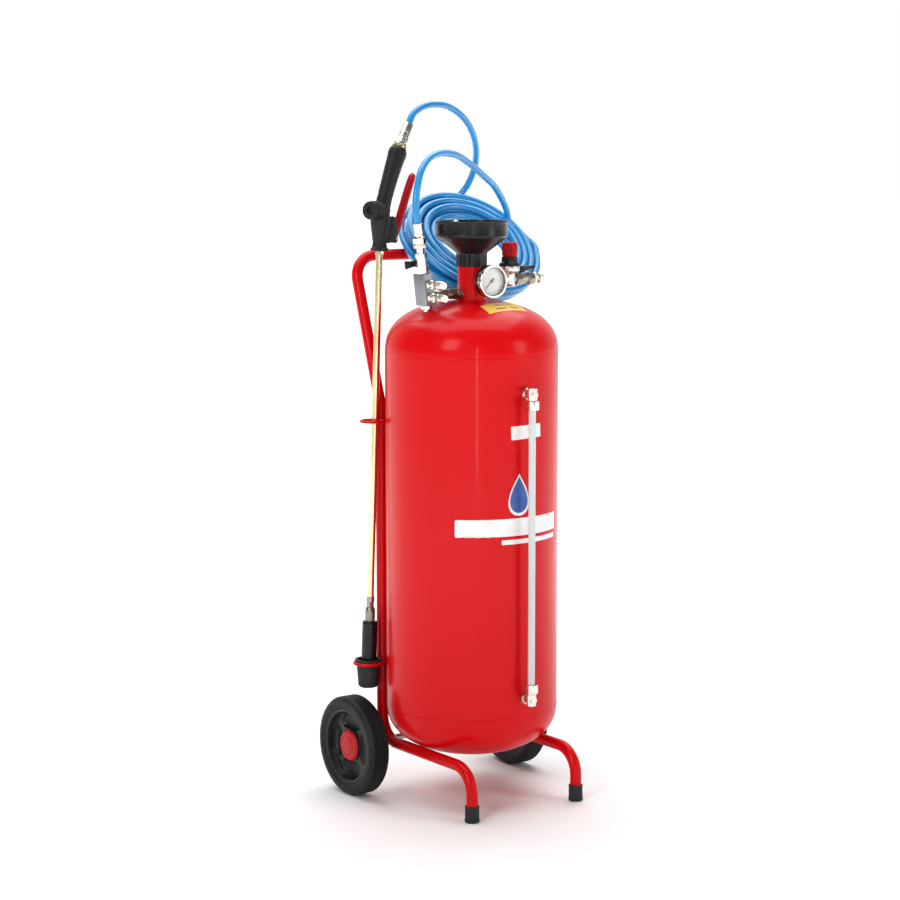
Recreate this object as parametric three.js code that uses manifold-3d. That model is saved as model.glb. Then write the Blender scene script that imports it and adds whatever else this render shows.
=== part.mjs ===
// Wheeled foam sprayer cart: a pressure tank on a bent tube frame, with a filler funnel,
// an air regulator row, an outlet manifold, a hose coil and a gun on a lance.
// Millimetres, +Z up, the operator stands behind the cart at +Y. The floor is z = 0.

import * as THREE from 'three';
import { mergeVertices } from 'three/addons/utils/BufferGeometryUtils.js';
import Module from 'manifold-3d';

const wasm = await Module();
wasm.setup();

// ---------- driving dimensions ----------
const gap = 0.3;                       // left between pieces that touch
const tankRadius = 150;
const tankWall = 3;
const wheelRadius = 87.7;
const seamAboveAxle = 77.3;            // from the axle up to the barrel's lower seam
const barrelBottom = wheelRadius + seamAboveAxle;
const barrelTop = 784;
const topDishHeight = 88;
const bottomDishHeight = 86;
const dishPower = 2.35;                // exponent of the dished ends' superellipse
const tubeRadius = 10;                 // frame tube
const tubeWall = 2;
const bendRadius = 45;
const trackX = tankRadius * 0.75;      // half distance between the two frame sides
const footY = -(tankRadius + 5);
const jointZ = barrelTop - 109;        // where the handle hoop meets the frame sides
const handleLean = THREE.MathUtils.degToRad(18);
const handleZ = barrelTop + 159;
const wheelWidth = 40;
const wheelX = trackX + 62.8;
const axleRadius = 6;
const runFit = 0.3;                    // radial clearance of a turning piece
const neckRadius = 24.15;              // filler neck, 1 1/2 inch pipe
const neckWall = 3.25;
const neckTop = barrelTop + 146;
const threadLength = 17;
const funnelRadius = 62.5;
const funnelTop = neckTop + 77.6;
const funnelWall = 2.6;
const hoseRadius = 6;
const levelTubeRadius = 6;
const lanceRadius = 6;

// ---------- shapes ----------
const degrees = THREE.MathUtils.degToRad;

// a profile of [radius, height] pairs turned about +Z
function turned(profile, sides = 20) {
  const points = profile.map(([r, z]) => new THREE.Vector2(r, z));
  return new THREE.LatheGeometry(points, sides).rotateX(Math.PI / 2);
}

// a solid bar of stacked [radius, top] steps that starts at height z0
function stepped(z0, steps, sides = 20) {
  const profile = [[0, z0]];
  let z = z0;
  for (const [radius, top] of steps) {
    profile.push([radius, z], [radius, top]);
    z = top;
  }
  profile.push([0, z]);
  return turned(profile, sides);
}

const bar = (radius, z0, z1, sides = 20) => stepped(z0, [[radius, z1]], sides);
const hexBar = (flats, z0, z1) => stepped(z0, [[flats / Math.sqrt(3), z1]], 6);

function sleeve(outer, inner, z0, z1, sides = 20) {
  return turned([[inner, z0], [outer, z0], [outer, z1], [inner, z1], [inner, z0]], sides);
}

function block(x, y, z, cx = 0, cy = 0, cz = 0) {
  return new THREE.BoxGeometry(x, y, z).translate(cx, cy, cz);
}

// a flat outline drawn in X and Z, as thick as it says along Y and centred on y = 0
function plateXZ(outline, thickness) {
  const options = { depth: thickness, bevelEnabled: false, curveSegments: 8 };
  return new THREE.ExtrudeGeometry(outline, options).translate(0, 0, -thickness / 2).rotateX(Math.PI / 2);
}

const alongX = (geometry) => geometry.rotateY(Math.PI / 2);
const alongY = (geometry) => geometry.rotateX(-Math.PI / 2);
const alongMinusY = (geometry) => geometry.rotateX(Math.PI / 2);

// ---------- joins and cuts ----------
function toSolid(geometry) {
  const bare = geometry.clone();
  bare.deleteAttribute('normal');
  bare.deleteAttribute('uv');
  const merged = mergeVertices(bare, 1e-3);
  const index = merged.index.array;
  const kept = [];
  for (let i = 0; i < index.length; i += 3) {
    const [a, b, c] = [index[i], index[i + 1], index[i + 2]];
    if (a !== b && b !== c && c !== a) kept.push(a, b, c);
  }
  return new wasm.Manifold(new wasm.Mesh({
    numProp: 3,
    vertProperties: new Float32Array(merged.attributes.position.array),
    triVerts: new Uint32Array(kept),
  }));
}

function toGeometry(solid) {
  const mesh = solid.getMesh();
  const geometry = new THREE.BufferGeometry();
  geometry.setAttribute('position', new THREE.BufferAttribute(new Float32Array(mesh.vertProperties), 3));
  geometry.setIndex(new THREE.BufferAttribute(new Uint32Array(mesh.triVerts), 1));
  geometry.computeVertexNormals();
  return geometry;
}

const join = (first, ...others) => toGeometry(others.reduce((sum, g) => sum.add(toSolid(g)), toSolid(first)));
const cut = (first, ...others) => (
  toGeometry(others.reduce((rest, g) => rest.subtract(toSolid(g)), toSolid(first)))
);

// ---------- tubes ----------
// straight runs joined by arcs: the stations of an extrusion, each with its own direction
class BentTube extends THREE.Curve {
  constructor(corners, radius, stepsPerBend = 6) {
    super();
    const points = corners.map((c) => new THREE.Vector3(...c));
    this.stations = [];
    this.directions = [];
    const put = (point, direction) => {
      this.stations.push(point);
      this.directions.push(direction.clone());
    };
    put(points[0], points[1].clone().sub(points[0]).normalize());
    for (let i = 1; i < points.length - 1; i += 1) {
      const into = points[i].clone().sub(points[i - 1]).normalize();
      const out = points[i + 1].clone().sub(points[i]).normalize();
      const angle = into.angleTo(out);
      const side = out.clone().addScaledVector(into, -into.dot(out)).normalize();
      const start = points[i].clone().addScaledVector(into, -radius * Math.tan(angle / 2));
      for (let k = 0; k <= stepsPerBend; k += 1) {
        const a = angle * k / stepsPerBend;
        const point = start.clone().addScaledVector(into, radius * Math.sin(a));
        point.addScaledVector(side, radius * (1 - Math.cos(a)));
        put(point, into.clone().multiplyScalar(Math.cos(a)).addScaledVector(side, Math.sin(a)));
      }
    }
    const last = points.length - 1;
    put(points[last], points[last].clone().sub(points[last - 1]).normalize());
  }

  get steps() { return this.stations.length - 1; }

  getPointAt(u) { return this.stations[Math.round(u * this.steps)].clone(); }

  getTangentAt(u) { return this.directions[Math.round(u * this.steps)].clone(); }
}

function ringSection(outer, inner) {
  const section = new THREE.Shape().absarc(0, 0, outer, 0, Math.PI * 2);
  if (inner > 0) section.holes.push(new THREE.Path().absarc(0, 0, inner, 0, Math.PI * 2, true));
  return section;
}

function tube(path, outer, inner, steps, sides) {
  const section = ringSection(outer, inner);
  return new THREE.ExtrudeGeometry(section, { extrudePath: path, steps, curveSegments: sides });
}

// ---------- scene ----------
const cart = new THREE.Group();
const paint = () => new THREE.MeshStandardMaterial({ color: 0xd61118, roughness: 0.25, metalness: 0.1 });
const plastic = () => new THREE.MeshStandardMaterial({ color: 0x141415, roughness: 0.35, metalness: 0 });
const rubber = () => new THREE.MeshStandardMaterial({ color: 0x232527, roughness: 0.8, metalness: 0 });
const nickel = () => new THREE.MeshStandardMaterial({ color: 0xc9c3b4, roughness: 0.22, metalness: 1 });
const brass = () => new THREE.MeshStandardMaterial({ color: 0xd8c48a, roughness: 0.2, metalness: 1 });
const aluminium = () => new THREE.MeshStandardMaterial({ color: 0x8d8f92, roughness: 0.45, metalness: 0.8 });
const redPlastic = () => new THREE.MeshStandardMaterial({ color: 0xc8141c, roughness: 0.35, metalness: 0 });
const bluePlastic = () => new THREE.MeshStandardMaterial({ color: 0x2a92dc, roughness: 0.2, metalness: 0 });
const clearPlastic = () => new THREE.MeshStandardMaterial({ color: 0xe8ecec, roughness: 0.1, metalness: 0 });
const white = () => new THREE.MeshStandardMaterial({ color: 0xf4f4ef, roughness: 0.4, metalness: 0 });

function add(name, geometry, material, parent = cart) {
  const mesh = new THREE.Mesh(geometry, material);
  mesh.name = name;
  parent.add(mesh);
  return mesh;
}

// ---------- tank ----------
const dishZ = (radius, height) => height * (1 - (radius / tankRadius) ** dishPower) ** (1 / dishPower);

// one face of a dished end, from its rim inwards to the radius given
function dishFace(rimRadius, height, toRadius, points = 9) {
  const last = Math.acos((toRadius / rimRadius) ** (dishPower / 2));
  const face = [];
  for (let i = 0; i <= points; i += 1) {
    const a = last * i / points;
    const r = rimRadius * Math.cos(a) ** (2 / dishPower);
    face.push([Math.max(r, 0), height * Math.sin(a) ** (2 / dishPower)]);
  }
  face[points][0] = toRadius;
  return face;
}

const tankSides = 40;
const neckBore = neckRadius - neckWall;
const levelX = 0;
const levelY = -(tankRadius + 22);
const levelTopZ = barrelTop - 60;
const levelBottomZ = barrelBottom + 34;
const portRadius = 5;
const outletX = -95;                   // where the outlet manifold stands on the top dish
const outletHoleRadius = 8;

const wallHole = () => bar(portRadius, tankRadius - 20, tankRadius + 20, 10);
const levelPort = (z) => alongMinusY(wallHole()).translate(levelX, 0, z);
add('tank_barrel', cut(sleeve(tankRadius, tankRadius - tankWall, barrelBottom, barrelTop, tankSides),
  levelPort(levelTopZ), levelPort(levelBottomZ)), paint());

const topOuter = dishFace(tankRadius, topDishHeight, neckBore + 0.6);
const topInner = dishFace(tankRadius - tankWall, topDishHeight - tankWall, neckBore + 0.6).reverse();
const topDish = turned([...topInner, ...topOuter, topInner[0]], tankSides);
add('top_dish', cut(topDish, bar(outletHoleRadius, 0, topDishHeight, 10).translate(outletX, 0, 0)), paint())
  .position.z = barrelTop + gap;

const bottomOuter = dishFace(tankRadius, -bottomDishHeight, 0).reverse();
const bottomInner = dishFace(tankRadius - tankWall, -(bottomDishHeight - tankWall), 0);
const bottomDish = turned([...bottomOuter, ...bottomInner], tankSides);
add('bottom_dish', bottomDish, paint()).position.z = barrelBottom - gap;

// ---------- filler neck, funnel and plug ----------
const portZ = neckTop - 25;                     // air row and safety valve on the neck
const gaugeZ = portZ + 1.5;
const linkZ = neckTop - 46;                     // air link to the outlet manifold
const neckBase = barrelTop + gap + dishZ(neckRadius - neckWall, topDishHeight) + gap;
const threadRadius = neckRadius - 0.9;
const neckOuter = (clearance) => bar(neckRadius + clearance, neckBase - 20, neckTop, 24);
const neckPipe = turned([[neckBore, neckBase], [neckRadius, neckBase], [neckRadius, neckTop],
  [threadRadius, neckTop], [threadRadius, neckTop + threadLength], [neckBore, neckTop + threadLength],
  [neckBore, neckBase]], 24);
const neckHole = () => bar(portRadius, neckBore - 5, neckRadius + 5, 10);
const neckPort = (turn, z) => alongX(neckHole()).rotateZ(turn).translate(0, 0, z);
add('filler_neck', cut(neckPipe, neckPort(0, portZ), neckPort(Math.PI / 2, portZ), neckPort(Math.PI, linkZ),
  neckPort(-Math.PI / 2, gaugeZ)), paint());

const socketTop = neckTop + 22;
const bandBottom = funnelTop - 25;
add('funnel', turned([
  [threadRadius + runFit, neckTop + gap], [neckRadius + funnelWall, neckTop + gap],
  [neckRadius + funnelWall, socketTop], [funnelRadius - 1, bandBottom - 2], [funnelRadius, bandBottom],
  [funnelRadius, funnelTop], [funnelRadius - funnelWall, funnelTop],
  [funnelRadius - funnelWall, bandBottom + 1],
  [threadRadius + runFit, socketTop], [threadRadius + runFit, neckTop + gap]], 32), plastic());

// the plug seats on the top of the neck and is turned by a ball-ended arm
const plugSeat = neckTop + threadLength + gap;
const plugArmTurn = degrees(144);
const plugArm = bar(3.2, 0, 34, 10).rotateY(degrees(52)).rotateZ(plugArmTurn).translate(0, 0, plugSeat + 36);
const plugBall = new THREE.SphereGeometry(5, 10, 8);
plugBall.translate(27, 0, 21).rotateZ(plugArmTurn).translate(0, 0, plugSeat + 36);
const plugBody = stepped(plugSeat - 20, [[neckBore - 1, plugSeat], [threadRadius - 0.6, plugSeat + 5],
  [13, plugSeat + 16], [5, plugSeat + 39]]);
add('filler_plug', join(plugBody, plugArm, plugBall), nickel());

// the safety valve stands out of the back of the neck, a little to the right
const safety = join(stepped(neckRadius - 4, [[6, 30], [9, 58], [6.5, 66]], 16), hexBar(17, 29, 38));
const safetyTurn = degrees(-36);                // towards the coil, between the handle's two sides
add('safety_valve', cut(alongY(safety).rotateZ(safetyTurn).translate(0, 0, portZ), neckOuter(gap)), brass());

// ---------- pressure gauge, its face to the front ----------
const gauge = new THREE.Group();
const gaugeBack = neckRadius + 19;
gauge.position.set(0, -gaugeBack, gaugeZ);
gauge.rotation.x = Math.PI / 2;
cart.add(gauge);
const caseRadius = 27.5;
const caseDepth = 17.7;
const dialRadius = caseRadius - 2;
const dialSeat = caseDepth - 6;
const gaugeCase = join(turned([[0, 0], [caseRadius, 0], [caseRadius, caseDepth],
  [dialRadius + runFit, caseDepth],
  [dialRadius + runFit, dialSeat], [0, dialSeat]], 28), bar(portRadius - runFit, -neckWall - 18, 1, 12),
hexBar(14, -12, 0.5));
add('gauge_case', gaugeCase, plastic(), gauge);
add('gauge_dial', turned([[1.5, dialSeat + gap], [dialRadius, dialSeat + gap], [dialRadius, dialSeat + 1.3],
  [1.5, dialSeat + 1.3], [1.5, dialSeat + gap]], 28), white(), gauge);
const lensBottom = caseDepth + gap;
const lensTop = lensBottom + 2.5;
add('gauge_lens', bar(caseRadius - 0.5, lensBottom, lensTop, 28), clearPlastic(), gauge);
add('gauge_bezel', turned([[caseRadius + gap, caseDepth - 5], [caseRadius + 1.4, caseDepth - 5],
  [caseRadius + 1.4, lensTop + 1.6], [dialRadius - 1, lensTop + 1.6], [dialRadius - 1, lensTop + gap],
  [caseRadius + gap, lensTop + gap], [caseRadius + gap, caseDepth - 5]], 28), nickel(), gauge);
const needle = join(stepped(0, [[2.6, 2.4]], 12), block(2, 26, 1, 0, 6, 0.8), block(3.4, 7, 1, 0, -6.5, 0.8));
const pointer = add('gauge_pointer', needle, plastic(), gauge);
pointer.position.z = dialSeat + 1.9;
pointer.rotation.z = degrees(135);

// ---------- air inlet row, to the right of the neck ----------
const regulatorX = 81.8;
const bowlBottom = portZ + 12.6;
const bowlTop = portZ + 23;
const rowBar = (radius, x0, x1, sides = 16) => alongX(bar(radius, x0, x1, sides)).translate(0, 0, portZ);
const rowHex = (flats, x0, x1) => alongX(hexBar(flats, x0, x1)).translate(0, 0, portZ);
const bodySide = regulatorX + 10.2;
const regulator = join(rowBar(7, neckRadius - 4, bodySide), rowHex(19, neckRadius + 4, neckRadius + 15),
  rowHex(18, neckRadius + 24, neckRadius + 32),
  stepped(portZ - 12, [[10, bowlBottom], [18, bowlTop]]).translate(regulatorX, 0, 0));
add('regulator_body', cut(regulator, neckOuter(gap)), nickel());
add('regulator_bonnet', stepped(bowlTop + gap, [[18.6, bowlTop + 4], [14.2, bowlTop + 15.6]], 24), plastic())
  .position.x = regulatorX;
add('regulator_knob', turned([[0, 0], [12.8, 0], [13.8, 22], [12.2, 25.4], [0, 25.4]], 24), redPlastic())
  .position.set(regulatorX, 0, bowlTop + 16);

const valveStart = bodySide + gap;
const valveEnd = valveStart + 38.5;
const stemX = 107.5;
const airValve = join(rowHex(21, valveStart, valveStart + 12), rowBar(9.6, valveStart + 11, valveEnd - 9),
  rowHex(20, valveEnd - 10, valveEnd), bar(4, 0, 11, 12).translate(stemX, 0, portZ));
add('air_valve_body', airValve, nickel());
const airLever = join(bar(6.2, 0, 11.5, 14), block(27, 11, 8, 13.5, 0, 7));
add('air_valve_lever', airLever, plastic()).position.set(stemX, 0, portZ + 11 + gap);
const plugStart = valveEnd + gap;
const airPlug = turned([[4, 0], [10.3, 0], [10.3, 6], [6.5, 7.5], [6.5, 10.5], [9.3, 12], [9.3, 20], [7, 23],
  [4, 23], [4, 0]], 16);
add('air_plug', alongX(airPlug).translate(plugStart, 0, portZ), nickel());

// ---------- outlet manifold, leaning out from the dish ----------
const manifold = new THREE.Group();
const manifoldLean = degrees(7);
const baseNutFlats = 17;
const nutHeight = 6;
const nutInnerEdge = baseNutFlats / Math.sqrt(3);
const dishAtNut = dishZ(-outletX - nutInnerEdge * Math.cos(manifoldLean), topDishHeight);
const manifoldZ = barrelTop + gap + dishAtNut - nutInnerEdge * Math.sin(manifoldLean) + 2 * gap;
manifold.position.set(outletX, 0, manifoldZ);
manifold.rotation.y = -manifoldLean;
cart.add(manifold);
const blockHeight = 54;
const blockX = 20;
const blockY = 32;
const blockBottom = nutHeight + gap;
const blockTop = blockBottom + blockHeight;
const outletBlock = block(blockX, blockY, blockHeight, 0, 0, blockBottom + blockHeight / 2);
add('base_nut', join(hexBar(baseNutFlats, 0, nutHeight), bar(5.5, -14, 1, 12)), nickel(), manifold);
add('outlet_block', outletBlock, aluminium(), manifold);
for (const [name, z] of [['lower', 20], ['upper', 42]]) {
  const front = blockY / 2 + gap;
  const body = join(bar(6, front, front + 18, 14), hexBar(15, front, front + 7),
    hexBar(14, front + 15, front + 21));
  const knob = stepped(front + 21 + gap, [[3, front + 26], [7.8, front + 42]], 16);
  add(`needle_body_${name}`, alongMinusY(body).translate(0, 0, z), nickel(), manifold);
  add(`needle_knob_${name}`, alongMinusY(knob).translate(0, 0, z), nickel(), manifold);
}
// the link carries air from the neck to the side of the block
const linkBar = alongX(turned([[0, outletX + 3], [6, outletX + 3], [6, -76], [8.5, -64], [8.5, -31],
  [7.2, -27],
  [7.2, -18], [0, -18]], 16)).translate(0, 0, linkZ);
const blockForLink = block(blockX + 2 * gap, blockY, blockHeight, 0, 0, blockBottom + blockHeight / 2);
blockForLink.rotateY(manifold.rotation.y).translate(outletX, 0, manifold.position.z);
add('air_link', cut(linkBar, neckOuter(gap), blockForLink), nickel());

const valveBottom = blockTop + gap;
const hoseValve = join(bar(8.6, valveBottom, valveBottom + 34), hexBar(18, valveBottom, valveBottom + 9),
  hexBar(17, valveBottom + 26, valveBottom + 34.4), alongY(bar(4, 0, 15, 12)).translate(0, 0,
    valveBottom + 16));
add('hose_valve_body', hoseValve, nickel(), manifold);
const wing = join(alongY(bar(6, 0, 7, 14)), block(42, 5, 15, 0, 4.5, 0));
add('hose_valve_lever', wing, plastic(), manifold).position.set(0, 15 + gap, valveBottom + 16);
const unionBottom = valveBottom + 34.4 + gap;
const unionLength = 49.5;
add('tank_union', stepped(unionBottom, [[6.5, unionBottom + 9], [11.3, unionBottom + 29],
  [8.5, unionBottom + unionLength]], 16), nickel(), manifold);

// the dip tube hangs under the manifold, down to the bottom of the tank
add('dip_tube', sleeve(6, 4.5, barrelBottom - 53, manifoldZ - 15, 10), nickel()).position.x = outletX + 1.7;

// ---------- level gauge on the front of the barrel ----------
function levelFitting(name, z, away) {
  const elbow = join(alongMinusY(bar(7.5, tankRadius - 5, -levelY + 4, 14)),
    alongMinusY(hexBar(18, tankRadius - 5, tankRadius + 8)),
    bar(8.3, Math.min(-11 * away, 10 * away), Math.max(-11 * away, 10 * away), 14).translate(levelX,
      levelY, 0));
  const barrel = bar(tankRadius + gap, -40, 40, 96);
  add(`level_fitting_${name}`, cut(elbow, barrel), nickel()).position.z = z;
  const low = away > 0 ? -27 : 11 + gap;
  add(`level_nut_${name}`, cut(hexBar(20, low, low + 16 - gap),
    bar(levelTubeRadius + runFit, low - 1, low + 17, 14)),
    nickel()).position.set(levelX, levelY, z);
}
levelFitting('top', levelTopZ, 1);
levelFitting('bottom', levelBottomZ, -1);
add('level_tube', sleeve(levelTubeRadius, 4.5, levelBottomZ + 11 + gap, levelTopZ - 11 - gap, 12),
  clearPlastic())
  .position.set(levelX, levelY, 0);

// ---------- frame ----------
const saddle = degrees(37);            // where the dished end touches the runs, from their tops
const saddleDish = dishZ(trackX - tubeRadius * Math.sin(saddle), bottomDishHeight);
const runZ = barrelBottom - saddleDish - tubeRadius * Math.cos(saddle) - 2 * gap;
const uprightY = Math.sqrt((tankRadius + tubeRadius + 0.5) ** 2 - trackX ** 2);
const axleY = uprightY - 1.7;
const axleZ = wheelRadius;
const capWall = 5;                     // rubber under the end of the tube
const frameTube = (corners) => {
  const path = new BentTube(corners, bendRadius);
  return tube(path, tubeRadius, tubeRadius - tubeWall, path.steps, 6);
};

// a plate at the lower bend carries the axle
function axleLug(side) {
  const bendY = uprightY - bendRadius;
  const bendZ = runZ + bendRadius;
  const weld = bendRadius + tubeRadius - 1;
  const atWeld = (angle) => [bendY + weld * Math.cos(degrees(angle)),
    bendZ + weld * Math.sin(degrees(angle))];
  const outline = new THREE.Shape();
  outline.moveTo(bendY, bendZ);
  outline.lineTo(...atWeld(-72));
  outline.lineTo(axleY - 6, axleZ - 11);
  outline.absarc(axleY, axleZ, 12.5, degrees(-115), degrees(25), false);
  outline.lineTo(...atWeld(-22));
  const plate = new THREE.ExtrudeGeometry(outline, { depth: 6, bevelEnabled: false, curveSegments: 8 });
  const insideBend = bar(weld, -1, 7, 72).translate(bendY, bendZ, 0);
  const lug = cut(plate, insideBend);
  return lug.rotateX(Math.PI / 2).rotateZ(Math.PI / 2).translate(side * trackX - 3, 0, 0);
}

const axleHole = alongX(bar(axleRadius + gap, -trackX - 20, trackX + 20, 16)).translate(0, axleY, axleZ);
for (const [name, side] of [['left', -1], ['right', 1]]) {
  const x = side * trackX;
  const legs = frameTube([[x, footY, capWall + gap], [x, footY, runZ], [x, uprightY, runZ],
    [x, uprightY, jointZ]]);
  add(`frame_${name}`, cut(join(legs, axleLug(side)), axleHole), paint());
  const cap = turned([[0, 0], [tubeRadius + 1.5, 0], [tubeRadius + 2.8, 2], [tubeRadius + 2.6, 28],
    [tubeRadius + gap, 28], [tubeRadius + gap, capWall], [0, capWall]], 16);
  add(`foot_cap_${name}`, cap, rubber()).position.set(x, footY, 0);
}
const handleY = uprightY + (handleZ - jointZ - 9) * Math.tan(handleLean);
add('push_handle', frameTube([[-trackX, uprightY, jointZ + gap], [-trackX, uprightY, jointZ + 9],
  [-trackX, handleY, handleZ], [trackX, handleY, handleZ], [trackX, uprightY, jointZ + 9],
  [trackX, uprightY, jointZ + gap]]), paint());

// ---------- axle and wheels ----------
const axleEnd = wheelX + 11;
add('axle', alongX(bar(axleRadius, -axleEnd, axleEnd, 16)).translate(0, axleY, axleZ), nickel());

const half = wheelWidth / 2;
const rimRadius = 66;
const hubOuter = 8;
const wheelSides = 36;
for (const [name, side] of [['left', -1], ['right', 1]]) {
  const wheel = new THREE.Group();
  wheel.position.set(side * wheelX, axleY, axleZ);
  wheel.rotation.y = side * Math.PI / 2;
  cart.add(wheel);
  const seat = rimRadius + gap;
  const tyre = [[seat, -half + 3], [wheelRadius - 9, -half], [wheelRadius - 3, -half + 2.5],
    [wheelRadius, -half + 8], [wheelRadius, half - 8], [wheelRadius - 3, half - 2.5], [wheelRadius - 9, half],
    [seat, half - 3], [seat, -half + 3]];
  add(`tyre_${name}`, turned(tyre, wheelSides), rubber(), wheel);
  const rimProfile = turned([[axleRadius + runFit, -19], [14, -19], [17, -5], [58, -5], [61, -17],
    [rimRadius, -17],
    [rimRadius, 17], [61, 17], [58, 6], [26, 6], [24, hubOuter], [axleRadius + runFit, hubOuter],
    [axleRadius + runFit, -19]], wheelSides);
  const pockets = [0, 1, 2, 3].map((k) => bar(11, 1, 12, 14).translate(44, 0, 0).rotateZ(k * Math.PI / 2));
  add(`rim_${name}`, cut(rimProfile, ...pockets), plastic(), wheel);
  const cap = turned([[0, hubOuter + 4], [axleRadius + runFit, hubOuter + 4],
    [axleRadius + runFit, hubOuter + gap],
    [27, hubOuter + gap], [28, hubOuter + 2], [24, hubOuter + 5], [0, hubOuter + 6.5]], 28);
  add(`hub_cap_${name}`, cap, redPlastic(), wheel);
}

// ---------- lance rest: a cup in a ring below and a wire ring above ----------
const uprightSpace = bar(tubeRadius + gap, 0, jointZ - 1, 24).translate(-trackX, uprightY, 0);
const cupX = -(trackX + tubeRadius + 24.5);
const cupY = uprightY - 6.5;
const cupBottom = 2 * wheelRadius + 14.6;
const cupRingZ = cupBottom + 43;
const wireRing = (radius, wire) => new THREE.TorusGeometry(radius, wire, 8, 28);
add('cup_ring', cut(wireRing(24, 3).translate(cupX, cupY, cupRingZ), uprightSpace), paint());
add('lance_ring', cut(wireRing(19, 2.5).translate(cupX + 7, cupY - 6, jointZ - 13), uprightSpace), paint());
const cupSeat = cupRingZ + 3 + gap;
add('lance_cup', turned([[0, cupBottom], [15.5, cupBottom], [17.8, cupBottom + 3], [20.5, cupRingZ - 4],
  [20.5, cupSeat], [23.5, cupSeat], [23.5, cupSeat + 4], [18.4, cupSeat + 4], [15.4, cupBottom + 4],
  [0, cupBottom + 4]], 24), rubber()).position.set(cupX, cupY, 0);

// ---------- lance and gun ----------
// their own frame: +Z up the lance, +X towards the trigger
const lanceFoot = new THREE.Vector3(cupX, cupY, cupBottom + 10);
const lanceHead = new THREE.Vector3(cupX + 21.2, cupY - 11.5, handleZ + 13);
const lanceLength = lanceFoot.distanceTo(lanceHead);
const lance = new THREE.Group();
lance.position.copy(lanceFoot);
const lanceLine = lanceHead.clone().sub(lanceFoot).normalize();
lance.quaternion.setFromUnitVectors(new THREE.Vector3(0, 0, 1), lanceLine);
lance.quaternion.multiply(new THREE.Quaternion().setFromAxisAngle(new THREE.Vector3(0, 0, 1), degrees(23.8)));
cart.add(lance);
const nozzleTop = 108;
add('nozzle_sleeve', turned([[0, 22], [11, 22], [11, -5], [13.5, -5], [13.5, nozzleTop], [0, nozzleTop]], 20),
  plastic(), lance);
const fittingTop = nozzleTop + 43;
add('nozzle_fitting', stepped(nozzleTop + gap, [[9, nozzleTop + 25], [7.4, fittingTop]], 16), nickel(),
  lance);
const tubeBore = cut(stepped(fittingTop + gap, [[lanceRadius, lanceLength - 5.5], [8.5, lanceLength]], 16),
  bar(lanceRadius - 1.2, fittingTop - 1, lanceLength - 8, 8));
add('lance_tube', tubeBore, brass(), lance);

const gunBottom = lanceLength + gap;
const chamberZ = gunBottom + 69;
const gripLean = degrees(25.7);
const gripLength = 117;
const pivotX = 40;
const pivotZ = gunBottom + 20;
const triggerWidth = 14;
const cheekX = 31;
const cheekZ = gunBottom + 36;
const cheek = (side) => block(34, 2.6, 46, cheekX, side * (triggerWidth / 2 + 1.6), cheekZ);
const gunBody = join(stepped(gunBottom, [[15.5, gunBottom + 7], [12.5, gunBottom + 12]]),
  turned([[0, gunBottom + 10], [12, gunBottom + 10], [17, gunBottom + 48], [15, gunBottom + 80],
    [0, gunBottom + 80]]),
  alongX(bar(14.5, -28, 14)).translate(0, 0, chamberZ),
  turned([[0, 0], [14.5, 0], [16, gripLength - 8], [13, gripLength], [0, gripLength]])
    .rotateY(gripLean).translate(4, 0, chamberZ),
  cheek(-1), cheek(1), block(8, triggerWidth + 5.8, 46, 15, 0, cheekZ),
  alongY(bar(2.5, -triggerWidth / 2 - 4, triggerWidth / 2 + 4, 12)).translate(pivotX, 0, pivotZ));
add('gun_body', gunBody, plastic(), lance);
const valvePlug = cut(alongX(bar(14, -34, -28 - gap)), alongX(hexBar(12, -36, -30)));
add('gun_plug', valvePlug.translate(0, 0, chamberZ), plastic(), lance);

const triggerLean = degrees(29.5);
const triggerReach = 118;
const lever = new THREE.Shape();
lever.moveTo(-6, 0);
lever.absarc(0, 0, 6, Math.PI, Math.PI * 2, false);
lever.lineTo(7, 20);
lever.lineTo(6.5, triggerReach);
lever.lineTo(-0.5, triggerReach);
lever.lineTo(0, 24);
lever.lineTo(-6, 0);
lever.holes.push(new THREE.Path().absarc(0, 0, 2.5 + runFit, 0, Math.PI * 2, true));
add('gun_trigger', plateXZ(lever, triggerWidth).rotateY(triggerLean - degrees(6)).translate(pivotX, 0,
  pivotZ),
  redPlastic(), lance);

const unionLean = degrees(36);
const unionFoot = new THREE.Vector3(57, 0, chamberZ + 109);
const gunUnion = stepped(0, [[12.4, 4], [11.5, 18], [9.5, 47]], 16);
add('gun_union', gunUnion.rotateY(unionLean).translate(unionFoot.x, 0, unionFoot.z), nickel(), lance);

// ---------- hose: a lead from the tank, a coil behind the neck and a tail to the gun ----------
const coilCentre = new THREE.Vector3(117, 162, 951);
const coilSlope = degrees(42.7);
const coilOuter = 131;
const coilInner = 70;
const coilHalf = 18;
const coilSolid = (clearance) => {
  const ring = sleeve(coilOuter + clearance, coilInner - clearance, -coilHalf - clearance,
    coilHalf + clearance, 32);
  return ring.rotateX(coilSlope).translate(...coilCentre.toArray());
};
add('hose_coil', coilSolid(0), bluePlastic());

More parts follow.
